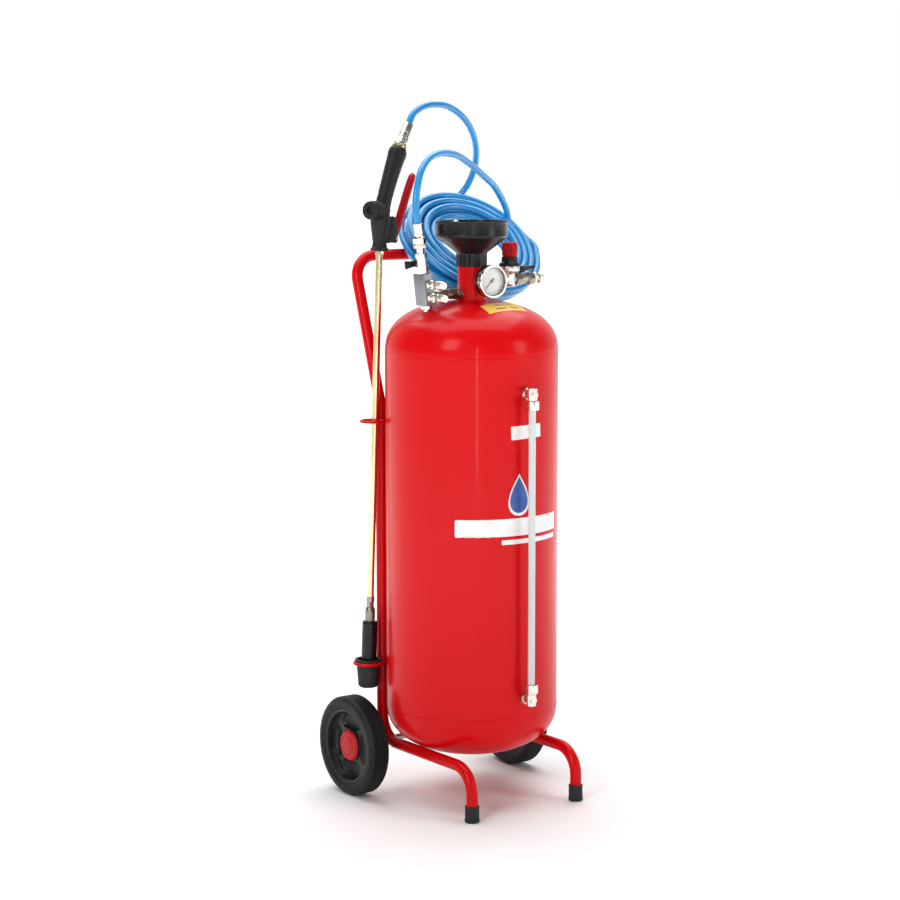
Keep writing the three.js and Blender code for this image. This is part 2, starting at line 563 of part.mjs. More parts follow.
// points chosen by hand along the hose
const leadPoints = [
  [-112.7, 0, 1005.1], [-115.2, 1, 1027], [-114, 3, 1047], [-105, 9, 1074], [-91, 18, 1096], [-68, 30, 1113],
  [-40, 44, 1121], [-10, 58, 1122], [25, 74, 1117], [71, 96, 1100], [115, 119, 1080], [152, 141, 1064],
  [185, 163, 1042], [210, 178, 1017], [224, 184, 992], [231, 172, 976],
];
const tailPoints = [
  [149, 273, 1027], [168, 268, 1042], [180, 259, 1061], [184, 247, 1084], [180, 233, 1107], [169, 217, 1129],
  [152, 201, 1150], [128, 184, 1171], [98, 168, 1189], [66, 158, 1202], [34, 148, 1206], [0, 139, 1203],
  [-28.8, 132.8, 1189.6], [-41.7, 127.6, 1171.3],
];
const hosePath = (points) => new THREE.CatmullRomCurve3(points.map((p) => new THREE.Vector3(...p)));
const hoseTube = (points, steps) => tube(hosePath(points), hoseRadius, 0, steps, 4);
add('hose_lead', cut(hoseTube(leadPoints, 22), coilSolid(gap)), bluePlastic());
add('hose_tail', cut(hoseTube(tailPoints, 18), coilSolid(gap)), bluePlastic());

// ---------- the origin: on the floor, at the middle of everything but the hose ----------
cart.updateMatrixWorld(true);
const bounds = new THREE.Box3();
cart.traverse((piece) => {
  if (piece.isMesh && !piece.name.startsWith('hose_coil') && !piece.name.startsWith('hose_lead')
    && !piece.name.startsWith('hose_tail')) bounds.expandByObject(piece, true);
});
const middle = bounds.getCenter(new THREE.Vector3());
cart.position.set(-middle.x, -middle.y, -bounds.min.z);

export default cart;
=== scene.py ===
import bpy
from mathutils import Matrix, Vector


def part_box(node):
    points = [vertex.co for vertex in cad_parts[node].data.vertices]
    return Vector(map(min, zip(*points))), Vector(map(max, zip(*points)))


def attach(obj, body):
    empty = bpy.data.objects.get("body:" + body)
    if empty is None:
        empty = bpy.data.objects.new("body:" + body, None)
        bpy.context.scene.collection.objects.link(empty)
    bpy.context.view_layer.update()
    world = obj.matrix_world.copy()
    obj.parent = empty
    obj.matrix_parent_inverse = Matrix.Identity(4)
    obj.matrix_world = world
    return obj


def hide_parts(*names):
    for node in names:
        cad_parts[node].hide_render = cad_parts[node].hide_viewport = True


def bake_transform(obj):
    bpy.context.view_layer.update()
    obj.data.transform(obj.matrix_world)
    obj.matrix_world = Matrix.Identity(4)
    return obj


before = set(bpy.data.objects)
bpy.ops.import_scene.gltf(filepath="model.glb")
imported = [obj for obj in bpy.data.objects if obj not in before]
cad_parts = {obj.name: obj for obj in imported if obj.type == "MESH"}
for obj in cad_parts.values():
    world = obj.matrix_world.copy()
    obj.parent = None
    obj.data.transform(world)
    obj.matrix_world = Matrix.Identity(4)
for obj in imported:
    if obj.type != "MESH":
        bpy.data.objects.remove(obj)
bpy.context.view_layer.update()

import math
import bpy
import numpy as np
from mathutils import Vector

scene = bpy.context.scene
mm = 0.001  # shapes are worked out in millimetres and placed in metres


def unit(vector):
    vector = np.asarray(vector, float)
    return vector / np.linalg.norm(vector)


def place(origin=(0, 0, 0), up=(0, 0, 1), right=(1, 0, 0)):
    # a 3 x 4 matrix: the third axis along up, the first as near to right as it can be, the origin in mm
    z = unit(up)
    x = unit(np.asarray(right, float) - np.dot(right, z) * z)
    return np.column_stack([x, np.cross(z, x), z, np.asarray(origin, float)])


def inside(outer, inner):
    # a place given within another place
    return np.column_stack([outer[:, :3] @ inner[:, :3], outer[:, :3] @ inner[:, 3] + outer[:, 3]])


def moved(points, where):
    return points @ where[:, :3].T + where[:, 3]


def middle(node):
    low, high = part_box(node)
    return np.array((low + high) / 2) / mm


# each shell is (points in mm, faces)
def gridShell(grid, closeRows=False):
    # quads between the neighbours of a rows x columns grid whose columns close into rings;
    # a first or last row that has shrunk to a point becomes one vertex
    rows, columns = grid.shape[:2]
    index = np.arange(rows * columns).reshape(rows, columns)
    for end in (0, -1):
        if not closeRows and np.ptp(grid[end], axis=0).max() < 1e-6:
            index[end] = index[end, 0]
    if closeRows:
        index = np.vstack([index, index[:1]])
    a, d = index[:-1], index[1:]
    b, c = np.roll(a, -1, axis=1), np.roll(d, -1, axis=1)
    quads = np.stack([a, b, c, d], axis=-1).reshape(-1, 4)
    lowPole, highPole = quads[:, 0] == quads[:, 1], quads[:, 2] == quads[:, 3]
    faces = quads[~lowPole & ~highPole].tolist() + quads[lowPole & ~highPole][:, [0, 2, 3]].tolist()
    faces += quads[highPole & ~lowPole][:, [0, 1, 2]].tolist()
    return grid.reshape(-1, 3), faces


def rounded(corners, closed=False, steps=5):
    # a profile of (radius, height, round) corners: each corner with a round is replaced by the curve
    # (1-s)^2 A + 2s(1-s) C + s^2 B, which leaves and meets its two sides that far from the corner C
    points = np.array([corner[:2] for corner in corners], float)
    rounds = np.array([corner[2] if len(corner) > 2 else 0 for corner in corners], float)
    before, after = np.roll(points, 1, axis=0) - points, np.roll(points, -1, axis=0) - points
    lengthBefore, lengthAfter = np.linalg.norm(before, axis=1), np.linalg.norm(after, axis=1)
    if not closed:
        rounds[[0, -1]] = 0
    out = []
    s = np.linspace(0, 1, steps)[:, None]
    for i, corner in enumerate(points):
        if rounds[i] <= 0:
            out.append(corner[None])
            continue
        start = corner + before[i] / lengthBefore[i] * min(rounds[i], lengthBefore[i] * 0.49)
        end = corner + after[i] / lengthAfter[i] * min(rounds[i], lengthAfter[i] * 0.49)
        out.append((1 - s) ** 2 * start + 2 * s * (1 - s) * corner + s ** 2 * end)
    return np.vstack(out)


def turnedShell(profile, where=None, sides=64, closed=False, shape=None):
    # x = r cos a, y = r sin a, z = height, for each profile point and angle a; shape(r, z, a) may change r
    profile = np.asarray(profile, float)
    angle = np.linspace(0, 2 * np.pi, sides, endpoint=False)[None, :]
    r, z = profile[:, :1] + 0 * angle, profile[:, 1:2] + 0 * angle
    if shape is not None:
        r = shape(r, z, angle)
    grid = np.stack([r * np.cos(angle), r * np.sin(angle), z], axis=-1)
    return gridShell(moved(grid, place() if where is None else where), closed)


def turnedPart(corners, where, sides, closed=False, shape=None):
    return turnedShell(rounded(corners, closed), where, sides, closed, shape)


def leaned(angle):
    # up and right vectors leaned towards +X
    return (math.sin(angle), 0, math.cos(angle)), (math.cos(angle), 0, -math.sin(angle))


def steppedShell(lengths, where=None, sides=72, bevel=0.35, bore=0):
    # a bar of stacked lengths (kind, radius or flats, from, to, ...), every edge broken by the bevel:
    # hex: the radius stays below flats / 2 / cos(angle from the nearest flat), cone: its end radius follows,
    # ribs and knurl: the radius dips by a depth with |sin| of a number of waves round the bar,
    # which a knurl also twists
    rows = [(bore, lengths[0][2], 0, 0, 0, 0)]
    for kind, size, start, end, *more in lengths:
        flats = size if kind == "hex" else 0
        radius = size / math.sqrt(3) if kind == "hex" else size
        last = more[0] if kind == "cone" else radius
        count, depth = more[:2] if kind in ("ribs", "knurl") else (0, 0)
        twist = 0.9 if kind == "knurl" else 0
        cut = bevel * (2.2 if kind == "hex" else 1)
        inner = [(radius, start + bevel), (last, end - bevel)]
        if count:
            heights = np.linspace(start + bevel, end - bevel,
                                  max(3, int((end - start) * (2 if twist else 0.5))))
            inner = [(radius, height) for height in heights]
        rows.append((radius - cut, start, flats, 0, 0, 0))
        rows += [(r, height, flats, count, depth, twist) for r, height in inner]
        rows.append((last - cut, end, flats, 0, 0, 0))
    rows.append((bore, lengths[-1][3], 0, 0, 0, 0))
    table = np.array(rows, float)
    flats, count, depth, twist = (table[:, k:k + 1] for k in (2, 3, 4, 5))

    def shape(r, z, angle):
        fromFlat = (angle + np.pi / 6) % (np.pi / 3) - np.pi / 6
        r = np.where(flats > 0, np.minimum(r, flats / 2 / np.cos(fromFlat)), r)
        waves = count * angle / 2
        dips = np.maximum(np.abs(np.sin(waves + twist * z)), np.abs(np.sin(waves - twist * z)))
        return r - depth * (1 - dips) * (count > 0)

    return turnedShell(table[:, :2], where, sides, closed=bool(bore), shape=shape)


def sweptShell(path, section, side, flatEnds=True):
    # the section's (a, b) points carried along the path: point + a N + b T x N, where T is the path's
    # direction and N is the side vector made square to it
    path = np.asarray(path, float)
    tangent = np.gradient(path, axis=0)
    tangent /= np.linalg.norm(tangent, axis=1)[:, None]
    side = np.broadcast_to(np.asarray(side, float), path.shape)
    normal = side - (side * tangent).sum(1)[:, None] * tangent
    normal /= np.linalg.norm(normal, axis=1)[:, None]
    other = np.cross(tangent, normal)
    section = np.asarray(section, float)
    if section.ndim == 2:
        section = np.broadcast_to(section, (len(path),) + section.shape)
    grid = path[:, None] + section[..., :1] * normal[:, None] + section[..., 1:] * other[:, None]
    if flatEnds:
        grid = np.concatenate([np.broadcast_to(path[:1, None], grid[:1].shape), grid,
                               np.broadcast_to(path[-1:, None], grid[:1].shape)])
    return gridShell(grid)


def circle(radius, sides=32):
    angle = np.linspace(0, 2 * np.pi, sides, endpoint=False)
    return np.stack([radius * np.cos(angle), radius * np.sin(angle)], axis=-1)


def roundRect(width, height, corner, steps=6):
    # four quarter circles round a rectangle, counterclockwise
    quarter = np.linspace(0, np.pi / 2, steps)
    centres = [(1, 1, 0), (-1, 1, 1), (-1, -1, 2), (1, -1, 3)]
    out = [np.stack([x * (width / 2 - corner) + corner * np.cos(quarter + turn * np.pi / 2),
                     y * (height / 2 - corner) + corner * np.sin(quarter + turn * np.pi / 2)], axis=-1)
           for x, y, turn in centres]
    return np.vstack(out)


def plateShell(outline, low, high, where=None, bevel=0.6):
    # a flat outline raised from low to high, its edge moved in by the bevel at both faces
    outline = np.asarray(outline, float)
    along = np.roll(outline, -1, axis=0) - np.roll(outline, 1, axis=0)
    inward = np.stack([-along[:, 1], along[:, 0]], axis=-1)
    inward /= np.linalg.norm(inward, axis=1)[:, None]
    centre = outline.mean(0)
    levels = [(None, low), (bevel, low), (bevel * 0.3, low + bevel * 0.3), (0, low + bevel),
              (0, high - bevel), (bevel * 0.3, high - bevel * 0.3), (bevel, high), (None, high)]
    rows = []
    for inset, z in levels:
        ring = np.broadcast_to(centre, outline.shape) if inset is None else outline + inset * inward
        rows.append(np.column_stack([ring, np.full(len(outline), z)]))
    return gridShell(moved(np.stack(rows), place() if where is None else where))


def bentPath(corners, radius, spacing=6):
    # straight runs joined by arcs: a corner's arc is start + radius (sin a) into + radius (1 - cos a) side
    corners = np.array(corners, float)
    out = [corners[0][None]]
    for before, corner, after in zip(corners[:-2], corners[1:-1], corners[2:]):
        into, away = unit(corner - before), unit(after - corner)
        turn = math.acos(np.clip(into @ away, -1, 1))
        side = unit(away - (into @ away) * into)
        angle = np.linspace(0, turn, max(4, int(radius * turn / spacing)))[:, None]
        start = corner - into * radius * math.tan(turn / 2)
        arc = start + radius * np.sin(angle) * into + radius * (1 - np.cos(angle)) * side
        out.append(filled(out[-1][-1], arc[0], spacing))
        out.append(arc)
    out.append(filled(out[-1][-1], corners[-1], spacing))
    out.append(corners[-1][None])
    return np.vstack(out)


def filled(start, end, spacing):
    count = max(1, int(np.linalg.norm(end - start) / spacing / 3))
    return start + (end - start) * (np.arange(1, count) / count)[:, None]


def smoothPath(points, spacing):
    # a Catmull-Rom curve through the points, then evenly spaced along its length
    p = np.vstack([2 * points[0] - points[1], points, 2 * points[-1] - points[-2]])
    s = np.linspace(0, 1, 24, endpoint=False)[None, :, None]
    a, b, c, d = p[:-3, None], p[1:-2, None], p[2:-1, None], p[3:, None]
    squared, cubed = 2 * a - 5 * b + 4 * c - d, 3 * b - a - 3 * c + d
    curve = 0.5 * (2 * b + (c - a) * s + squared * s ** 2 + cubed * s ** 3)
    curve = np.vstack([curve.reshape(-1, 3), points[-1]])
    walked = np.concatenate([[0], np.cumsum(np.linalg.norm(np.diff(curve, axis=0), axis=1))])
    even = np.linspace(0, walked[-1], max(2, int(walked[-1] / spacing)))
    return np.stack([np.interp(even, walked, curve[:, k]) for k in range(3)], axis=-1)


def build(name, shells, material, body=None, nodes=(), sharp=32):
    points, faces, offset = [], [], 0
    for shellPoints, shellFaces in shells:
        points.append(shellPoints)
        faces += [[corner + offset for corner in face] for face in shellFaces]
        offset += len(shellPoints)
    points = np.vstack(points) * mm
    used = np.zeros(len(points), bool)
    used[np.concatenate([np.array(face) for face in faces])] = True
    renumber = np.cumsum(used) - 1
    mesh = bpy.data.meshes.new(name)
    mesh.from_pydata(points[used].tolist(), [],
                     [[int(renumber[corner]) for corner in face] for face in faces])
    mesh.shade_smooth()
    mesh.set_sharp_from_angle(angle=math.radians(sharp))
    mesh.materials.append(material)
    mesh.update()
    piece = bpy.data.objects.new(name, mesh)
    scene.collection.objects.link(piece)
    if body:
        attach(piece, body)
    if nodes:
        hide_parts(*nodes)
    return piece


# noise on Object coordinates gives each finish its grain and wear
def newFinish(name, color, roughness, metallic, sockets):
    material = bpy.data.materials.new(name)
    material.use_nodes = True
    shader = material.node_tree.nodes["Principled BSDF"]
    shader.inputs["Base Color"].default_value = (*color, 1)
    shader.inputs["Roughness"].default_value = roughness
    shader.inputs["Metallic"].default_value = metallic
    for socket, value in sockets.items():
        shader.inputs[socket].default_value = value
    return material


def noiseOf(material, scale, detail, stretch):
    nodes, links = material.node_tree.nodes, material.node_tree.links
    coordinate = nodes.new("ShaderNodeTexCoord")
    mapping = nodes.new("ShaderNodeMapping")
    mapping.inputs["Scale"].default_value = stretch
    noise = nodes.new("ShaderNodeTexNoise")
    noise.inputs["Scale"].default_value = scale
    noise.inputs["Detail"].default_value = detail
    links.new(coordinate.outputs["Object"], mapping.inputs["Vector"])
    links.new(mapping.outputs["Vector"], noise.inputs["Vector"])
    return noise.outputs["Fac"]


def addBump(material, scale, distance, strength, stretch=(1, 1, 1)):
    nodes, links = material.node_tree.nodes, material.node_tree.links
    bump = nodes.new("ShaderNodeBump")
    bump.inputs["Strength"].default_value = strength
    bump.inputs["Distance"].default_value = distance
    links.new(noiseOf(material, scale, 3.0, stretch), bump.inputs["Height"])
    links.new(bump.outputs["Normal"], nodes["Principled BSDF"].inputs["Normal"])


def addRange(material, socket, scale, low, high, stretch=(1, 1, 1)):
    # a socket that wanders between two values, or two colours
    nodes, links = material.node_tree.nodes, material.node_tree.links
    ramp = nodes.new("ShaderNodeValToRGB")
    for stop, value, where in ((0, low, 0.35), (1, high, 0.68)):
        ramp.color_ramp.elements[stop].position = where
        color = value if isinstance(value, tuple) else (value, value, value)
        ramp.color_ramp.elements[stop].color = (*color, 1)
    links.new(noiseOf(material, scale, 4.0, stretch), ramp.inputs["Fac"])
    links.new(ramp.outputs["Color"], nodes["Principled BSDF"].inputs[socket])


# each finish: colour, roughness, metallic, other sockets, what wanders (socket, scale, low, high and
# maybe a stretch) and the bump (scale, depth in metres, strength and maybe a stretch)
finishValues = {
    "redPaint": ((0.62, 0.004, 0.008), 0.3, 0,
                 {"Coat Weight": 0.12, "Coat Roughness": 0.04, "Specular IOR Level": 0.1},
                 [("Base Color", 2.2, (0.62, 0.0015, 0.004), (0.67, 0.003, 0.006))], (260, 0.00006, 0.5)),
    "blackPlastic": ((0.006, 0.0065, 0.0065), 0.3, 0, {"Specular IOR Level": 0.3},
                     [("Roughness", 60, 0.22, 0.34)], (900, 0.00005, 0.6)),
    "gripPlastic": ((0.009, 0.010, 0.010), 0.45, 0, {"Specular IOR Level": 0.3},
                    [("Roughness", 40, 0.42, 0.56)], (620, 0.00012, 0.8)),
    "capRubber": ((0.02, 0.023, 0.025), 0.6, 0, {"Specular IOR Level": 0.25},
                  [("Base Color", 30, (0.014, 0.017, 0.018), (0.027, 0.031, 0.033))], (500, 0.00010, 0.7)),
    "tyreRubber": ((0.008, 0.009, 0.010), 0.55, 0, {"Specular IOR Level": 0.25},
                   [("Base Color", 22, (0.006, 0.008, 0.008), (0.015, 0.018, 0.019))], (420, 0.00012, 0.8)),
    "rimPlastic": ((0.009, 0.010, 0.010), 0.38, 0, {"Specular IOR Level": 0.35},
                   [("Roughness", 30, 0.32, 0.5)], (520, 0.00010, 0.6)),
    "nickelPlate": ((0.74, 0.70, 0.63), 0.18, 1, {}, [("Base Color", 35, (0.66, 0.61, 0.53),
                                                       (0.80, 0.77, 0.71)), ("Roughness", 90, 0.12, 0.28)],
                    (700, 0.00003, 0.5)),
    "sandedNickel": ((0.34, 0.32, 0.28), 0.36, 1, {},
                     [("Base Color", 40, (0.30, 0.28, 0.24), (0.42, 0.39, 0.34))], (1100, 0.00005, 0.7)),
    "paleBrass": ((0.74, 0.61, 0.34), 0.16, 1, {}, [("Base Color", 12, (0.66, 0.53, 0.28),
                                                     (0.80, 0.69, 0.44)),
                                                    ("Roughness", 60, 0.11, 0.24, (1, 1, 0.08))],
                  (900, 0.00002, 0.5, (1, 1, 0.05))),
    "satinNickel": ((0.72, 0.71, 0.69), 0.34, 1, {}, [("Roughness", 80, 0.28, 0.42)], (1200, 0.00004, 0.6)),
    "blockAluminium": ((0.24, 0.25, 0.27), 0.42, 0.85, {}, [("Roughness", 120, 0.34, 0.5, (1, 1, 0.1))],
                       (1500, 0.00003, 0.5, (1, 1, 0.06))),
    "zincSteel": ((0.56, 0.56, 0.57), 0.3, 1, {}, [("Roughness", 50, 0.24, 0.4)], (800, 0.00003, 0.5)),
    "redPlastic": ((0.48, 0.004, 0.010), 0.32, 0, {"Specular IOR Level": 0.2}, [("Roughness", 50, 0.26, 0.4)],
                   (700, 0.00004, 0.5)),
    "blueHose": ((0.012, 0.26, 0.62), 0.24, 0, {"Coat Weight": 0.35, "Coat Roughness": 0.12,
                                                "Subsurface Weight": 0.08, "Subsurface Scale": 0.004,
                                                "Subsurface Radius": (0.2, 0.7, 1.0)},
                 [("Base Color", 7, (0.008, 0.215, 0.53), (0.018, 0.30, 0.66))], (300, 0.00004, 0.4)),
    "milkyTube": ((0.86, 0.88, 0.88), 0.22, 0, {"Transmission Weight": 0.35, "IOR": 1.45},
                  [("Base Color", 9, (0.80, 0.82, 0.83), (0.92, 0.94, 0.94), (1, 1, 0.2))],
                  (200, 0.00005, 0.4)),
    "clearWindow": ((0.9, 0.92, 0.93), 0.03, 0, {"Alpha": 0.1}, [], (60, 0.00001, 0.2)),
    "whiteDial": ((0.86, 0.86, 0.83), 0.5, 0, {},
                  [("Base Color", 60, (0.84, 0.84, 0.81), (0.89, 0.89, 0.87))], None),
    "dialInk": ((0.012, 0.012, 0.014), 0.5, 0, {}, [("Roughness", 80, 0.4, 0.6)], None),
    "yellowLabel": ((0.90, 0.55, 0.03), 0.35, 0, {},
                    [("Base Color", 60, (0.88, 0.52, 0.03), (0.93, 0.60, 0.06))], None),
    "whiteLabel": ((0.85, 0.85, 0.84), 0.35, 0, {},
                   [("Base Color", 40, (0.80, 0.80, 0.79), (0.88, 0.88, 0.87))], None),
    "blueLabel": ((0.03, 0.09, 0.34), 0.35, 0, {},
                  [("Base Color", 40, (0.02, 0.07, 0.30), (0.04, 0.12, 0.40))], None),
}


def makeFinishes():
    finishes = {}
    for name, (color, roughness, metallic, sockets, ranges, bump) in finishValues.items():
        finishes[name] = newFinish(name, color, roughness, metallic, sockets)
        for values in ranges:
            addRange(finishes[name], *values)
        if bump:
            addBump(finishes[name], *bump)
    return finishes


tankAxis = middle("tank_barrel")
tankAxis[2] = 0
base = place(tankAxis)  # everything below is measured from the tank's axis, in mm


def at(origin, up=(0, 0, 1), right=(1, 0, 0)):
    return inside(base, place(origin, up, right))


cameraValues = {"from": (-2.372, -3.236, 1.150), "azimuth": -36.239, "pitch": 8.698, "lens": 93.07,
                "shift": (-0.0239, 0.0474)}  # metres from the tank's axis, degrees, mm


def makeCamera():
    v = cameraValues
    data = bpy.data.cameras.new("viewer")
    data.sensor_width = 36
    data.lens = v["lens"]
    data.shift_x, data.shift_y = v["shift"]
    data.clip_end = 60
    camera = bpy.data.objects.new("viewer", data)
    camera.location = Vector(tankAxis * mm) + Vector(v["from"])
    turn, pitch = math.radians(-v["azimuth"]), math.radians(v["pitch"])
    ahead = Vector((math.sin(turn) * math.cos(pitch), math.cos(turn) * math.cos(pitch), -math.sin(pitch)))
    camera.rotation_mode = "QUATERNION"
    camera.rotation_quaternion = ahead.to_track_quat("-Z", "Y")
    scene.collection.objects.link(camera)
    bpy.context.scene.camera = camera


makeCamera()
finish = makeFinishes()
print("camera and finishes made")

hoseValues = {
    "radius": 6.0,
    "coilCentre": (117, 162, 951),
    "coilSlope": 42.7,  # degrees from level
    "lift": 3.5,  # off the handle and the tank
    "startAngle": 22,
    "turns": 15.2,
    "layers": 4,
    "innerTurn": 76,
    "pitch": 12.6,
    "layerHeight": 10.2,
    "spread": 0.22,  # how much wider the turns lie on the left
    "spacing": 8.0,
    "lastAngle": 174,  # the coil ends here, and its last turn goes through the behind points
    "behind": [(152, 119, -18), (132, 120, -21), (112, 122, -24), (97, 125, -25)],  # angle, radius, height
}
leadPoints = [
    (-0.1127, 0.000, 1.0051), (-0.1152, 0.001, 1.027), (-0.114, 0.003, 1.047), (-0.105, 0.009, 1.074),
    (-0.091, 0.018, 1.096), (-0.068, 0.030, 1.113), (-0.040, 0.044, 1.121), (-0.010, 0.058, 1.122),
    (0.025, 0.074, 1.117), (0.071, 0.096, 1.100), (0.115, 0.119, 1.080), (0.152, 0.141, 1.064),
    (0.185, 0.163, 1.042), (0.210, 0.178, 1.017), (0.224, 0.184, 0.992),
]
tailPoints = [
    (0.149, 0.273, 1.027), (0.168, 0.268, 1.042), (0.180, 0.259, 1.061), (0.184, 0.247, 1.084),
    (0.180, 0.233, 1.107), (0.169, 0.217, 1.129), (0.152, 0.201, 1.150), (0.128, 0.184, 1.171),
    (0.098, 0.168, 1.189), (0.066, 0.158, 1.202), (0.034, 0.148, 1.206), (0.000, 0.139, 1.203),
    (-0.0288, 0.1328, 1.1896), (-0.0417, 0.1276, 1.1713),
]


def coilPlace():
    slope = math.radians(hoseValues["coilSlope"])
    return at(hoseValues["coilCentre"], (0, -math.sin(slope), math.cos(slope)))


def coilPoints():
    # flat spirals, in and out in turn: the radius changes by one pitch a turn while the angle runs clockwise,
    # the height steps down a layer where one spiral ends, and slow waves keep the turns loose
    v = hoseValues
    perLayer = v["turns"] / v["layers"]
    turn = np.arange(0.08, v["turns"], 1 / 40)
    within = turn % perLayer
    layer = np.floor(turn / perLayer)
    outer = v["innerTurn"] + v["pitch"] * perLayer
    radius = np.where(layer % 2 == 0, outer - v["pitch"] * within, v["innerTurn"] + v["pitch"] * within)
    step = np.clip((within - perLayer + 0.3) / 0.3, 0, 1)
    step = step * step * (3 - 2 * step) * (layer < v["layers"] - 1)
    height = v["layerHeight"] * ((v["layers"] - 1) / 2 - layer - step) + v["lift"]
    angle = math.radians(v["startAngle"]) - 2 * np.pi * turn
    leftness = 0.5 + 0.5 * np.cos(angle - math.radians(165))
    radius = radius + v["spread"] * (radius - v["innerTurn"]) * leftness + 1.5 * np.cos(2 * angle + 0.6)
    height = height + 1.2 * np.sin(2 * angle + 0.4)
    return np.stack([radius * np.cos(angle), radius * np.sin(angle), height], axis=-1)


def makeHose():
    v = hoseValues
    where = coilPlace()
    # the last turn drops behind the coil and leaves upwards from there, towards the gun
    angle, radius, height = np.array(v["behind"], float).T
    angle = np.radians(angle)
    over = np.stack([radius * np.cos(angle), radius * np.sin(angle), height], axis=-1)
    turns = coilPoints()
    fromEnd = np.arctan2(turns[:, 1], turns[:, 0]) - math.radians(v["lastAngle"])
    last = np.flatnonzero(np.abs((fromEnd + np.pi) % (2 * np.pi) - np.pi) <= 0.09)[-1]
    coil = moved(np.vstack([turns[:last + 1], over]), where)
    lead = moved(np.array(leadPoints) / mm, base)
    tail = moved(np.array(tailPoints) / mm, base)
    path = smoothPath(np.vstack([lead, coil, tail]), v["spacing"])
    hose = build("hose", [sweptShell(path, circle(v["radius"], 20), where[:, 2])], finish["blueHose"],
                 sharp=60)
    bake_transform(hose)
    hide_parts("hose_lead", "hose_coil", "hose_tail")
    return hose


makeHose()
print("hose made")

tankValues = {"radius": 150, "wall": 3, "foot": 165, "top": 784, "topDish": 88, "bottomDish": 86,
              "power": 2.35, "seamBead": 1.1, "neckRadius": 24.15, "neckBore": 20.9, "threadRadius": 23.25,
              "neckTop": 930}


def dishZ(radius, height):
    # z = H (1 - (r / R)^n)^(1/n), a superellipse
    v = tankValues
    return height * (1 - np.clip(radius / v["radius"], 0, 1) ** v["power"]) ** (1 / v["power"])


def dishProfile(rim, height, toRadius, points=36):
    # the same superellipse from its rim inwards: r = R cos(a)^(2/n), z = H sin(a)^(2/n)
    power = tankValues["power"]
    angle = np.linspace(0, math.acos((toRadius / rim) ** (power / 2)), points)
    radius = rim * np.abs(np.cos(angle)) ** (2 / power)
    return np.stack([np.maximum(radius, toRadius), height * np.sin(angle) ** (2 / power)], axis=-1)


def ringShell(radius, wire, where, sides=96, around=16, wobble=0.0):
    # a torus; wobble swells the wire in short waves, as a weld bead's
    turn = np.linspace(0, 2 * np.pi, sides, endpoint=False)[:, None]
    about = np.linspace(0, 2 * np.pi, around, endpoint=False)[None, :]
    thick = wire * (1 + wobble * np.sin(turn * sides * 0.31) ** 2)
    r = radius + thick * np.cos(about)
    grid = np.stack([r * np.cos(turn), r * np.sin(turn), thick * np.sin(about)], axis=-1)
    return gridShell(moved(grid[:, ::-1], where), closeRows=True)


def makeTank():
    v = tankValues
    paint, r, inner = finish["redPaint"], v["radius"], v["radius"] - v["wall"]
    barrel = rounded([(inner, v["foot"]), (r, v["foot"], 0.6), (r, v["foot"] + 4), (r, v["top"] - 4),
                      (r, v["top"], 0.6), (inner, v["top"])])
    build("tankBarrel", [turnedShell(barrel, base, 192, closed=True)], paint, "cart",
          ["tank_barrel"])
    hole = v["neckRadius"] - 2
    outside = dishProfile(r, v["topDish"], hole)
    within = dishProfile(inner, v["topDish"] - v["wall"], hole)[::-1]
    top = turnedShell(np.vstack([outside, within]), at((0, 0, v["top"] + 0.3)), 192, closed=True)
    build("topDish", [top], paint, "cart", ["top_dish"])
    outside = dishProfile(r, -v["bottomDish"], 0)[::-1]
    within = dishProfile(inner, -(v["bottomDish"] - v["wall"]), 0)
    bottom = turnedShell(np.vstack([outside, within]), at((0, 0, v["foot"] - 0.3)), 192)
    build("bottomDish", [bottom], paint, "cart", ["bottom_dish"])
    neckFoot = v["top"] + dishZ(v["neckRadius"], v["topDish"])
    inner, outer, thread, mouth = v["neckBore"], v["neckRadius"], v["threadRadius"], v["neckTop"]
    neck = turnedPart([(inner, neckFoot - 1), (outer, neckFoot - 1), (outer, mouth, 0.5),
                       (thread, mouth + 0.4), (thread, mouth + 17, 0.6), (inner, mouth + 17)], base, 72,
                      closed=True)
    build("fillerNeck", [neck], paint, "cart", ["filler_neck"])
    seams = [ringShell(r - 0.5, v["seamBead"], at((0, 0, z)), 240, 10, 0.15)
             for z in (v["top"] + 0.2, v["foot"] - 0.2)]
    seams.append(ringShell(v["neckRadius"] + 0.6, 2.2, at((0, 0, neckFoot + 0.6)), 96, 12, 0.2))
    build("weldSeams", seams, paint, "cart")


def labelShell(outline, surface, thick=0.25):
    # an outline in two surface coordinates, laid on surface(a, b, height): a fan of rings towards its middle
    outline = np.asarray(outline, float)
    centre = outline.mean(0)
    rings = [centre + (outline - centre) * k for k in np.linspace(1, 0, 20)]
    under = np.stack([surface(ring[:, 0], ring[:, 1], -0.2) for ring in rings[::-1]])
    over = np.stack([surface(ring[:, 0], ring[:, 1], thick) for ring in rings])
    return gridShell(moved(np.concatenate([under, over]), base))


def onBarrel(x, z, height):
    # x runs round the barrel in mm from the front
    r = tankValues["radius"] + height
    angle = x / tankValues["radius"] - np.pi / 2
    return np.stack([r * np.cos(angle), r * np.sin(angle), z], axis=-1)


def onTopDish(x, y, height):
    r = np.hypot(x, y)
    return np.stack([x, y, tankValues["top"] + 0.3 + dishZ(r, tankValues["topDish"]) + height * 1.2], axis=-1)


def softBox(width, height, corner, centre, turn=0.0, steps=6, between=12):
    # a rounded rectangle with points along its sides too
    corners = roundRect(width, height, corner, steps)
    after = np.roll(corners, -1, axis=0)
    share = np.arange(between)[None, :, None] / between
    points = (corners[:, None] + share * (after - corners)[:, None]).reshape(-1, 2)
    c, s = math.cos(turn), math.sin(turn)
    return points @ np.array([[c, s], [-s, c]]) + centre


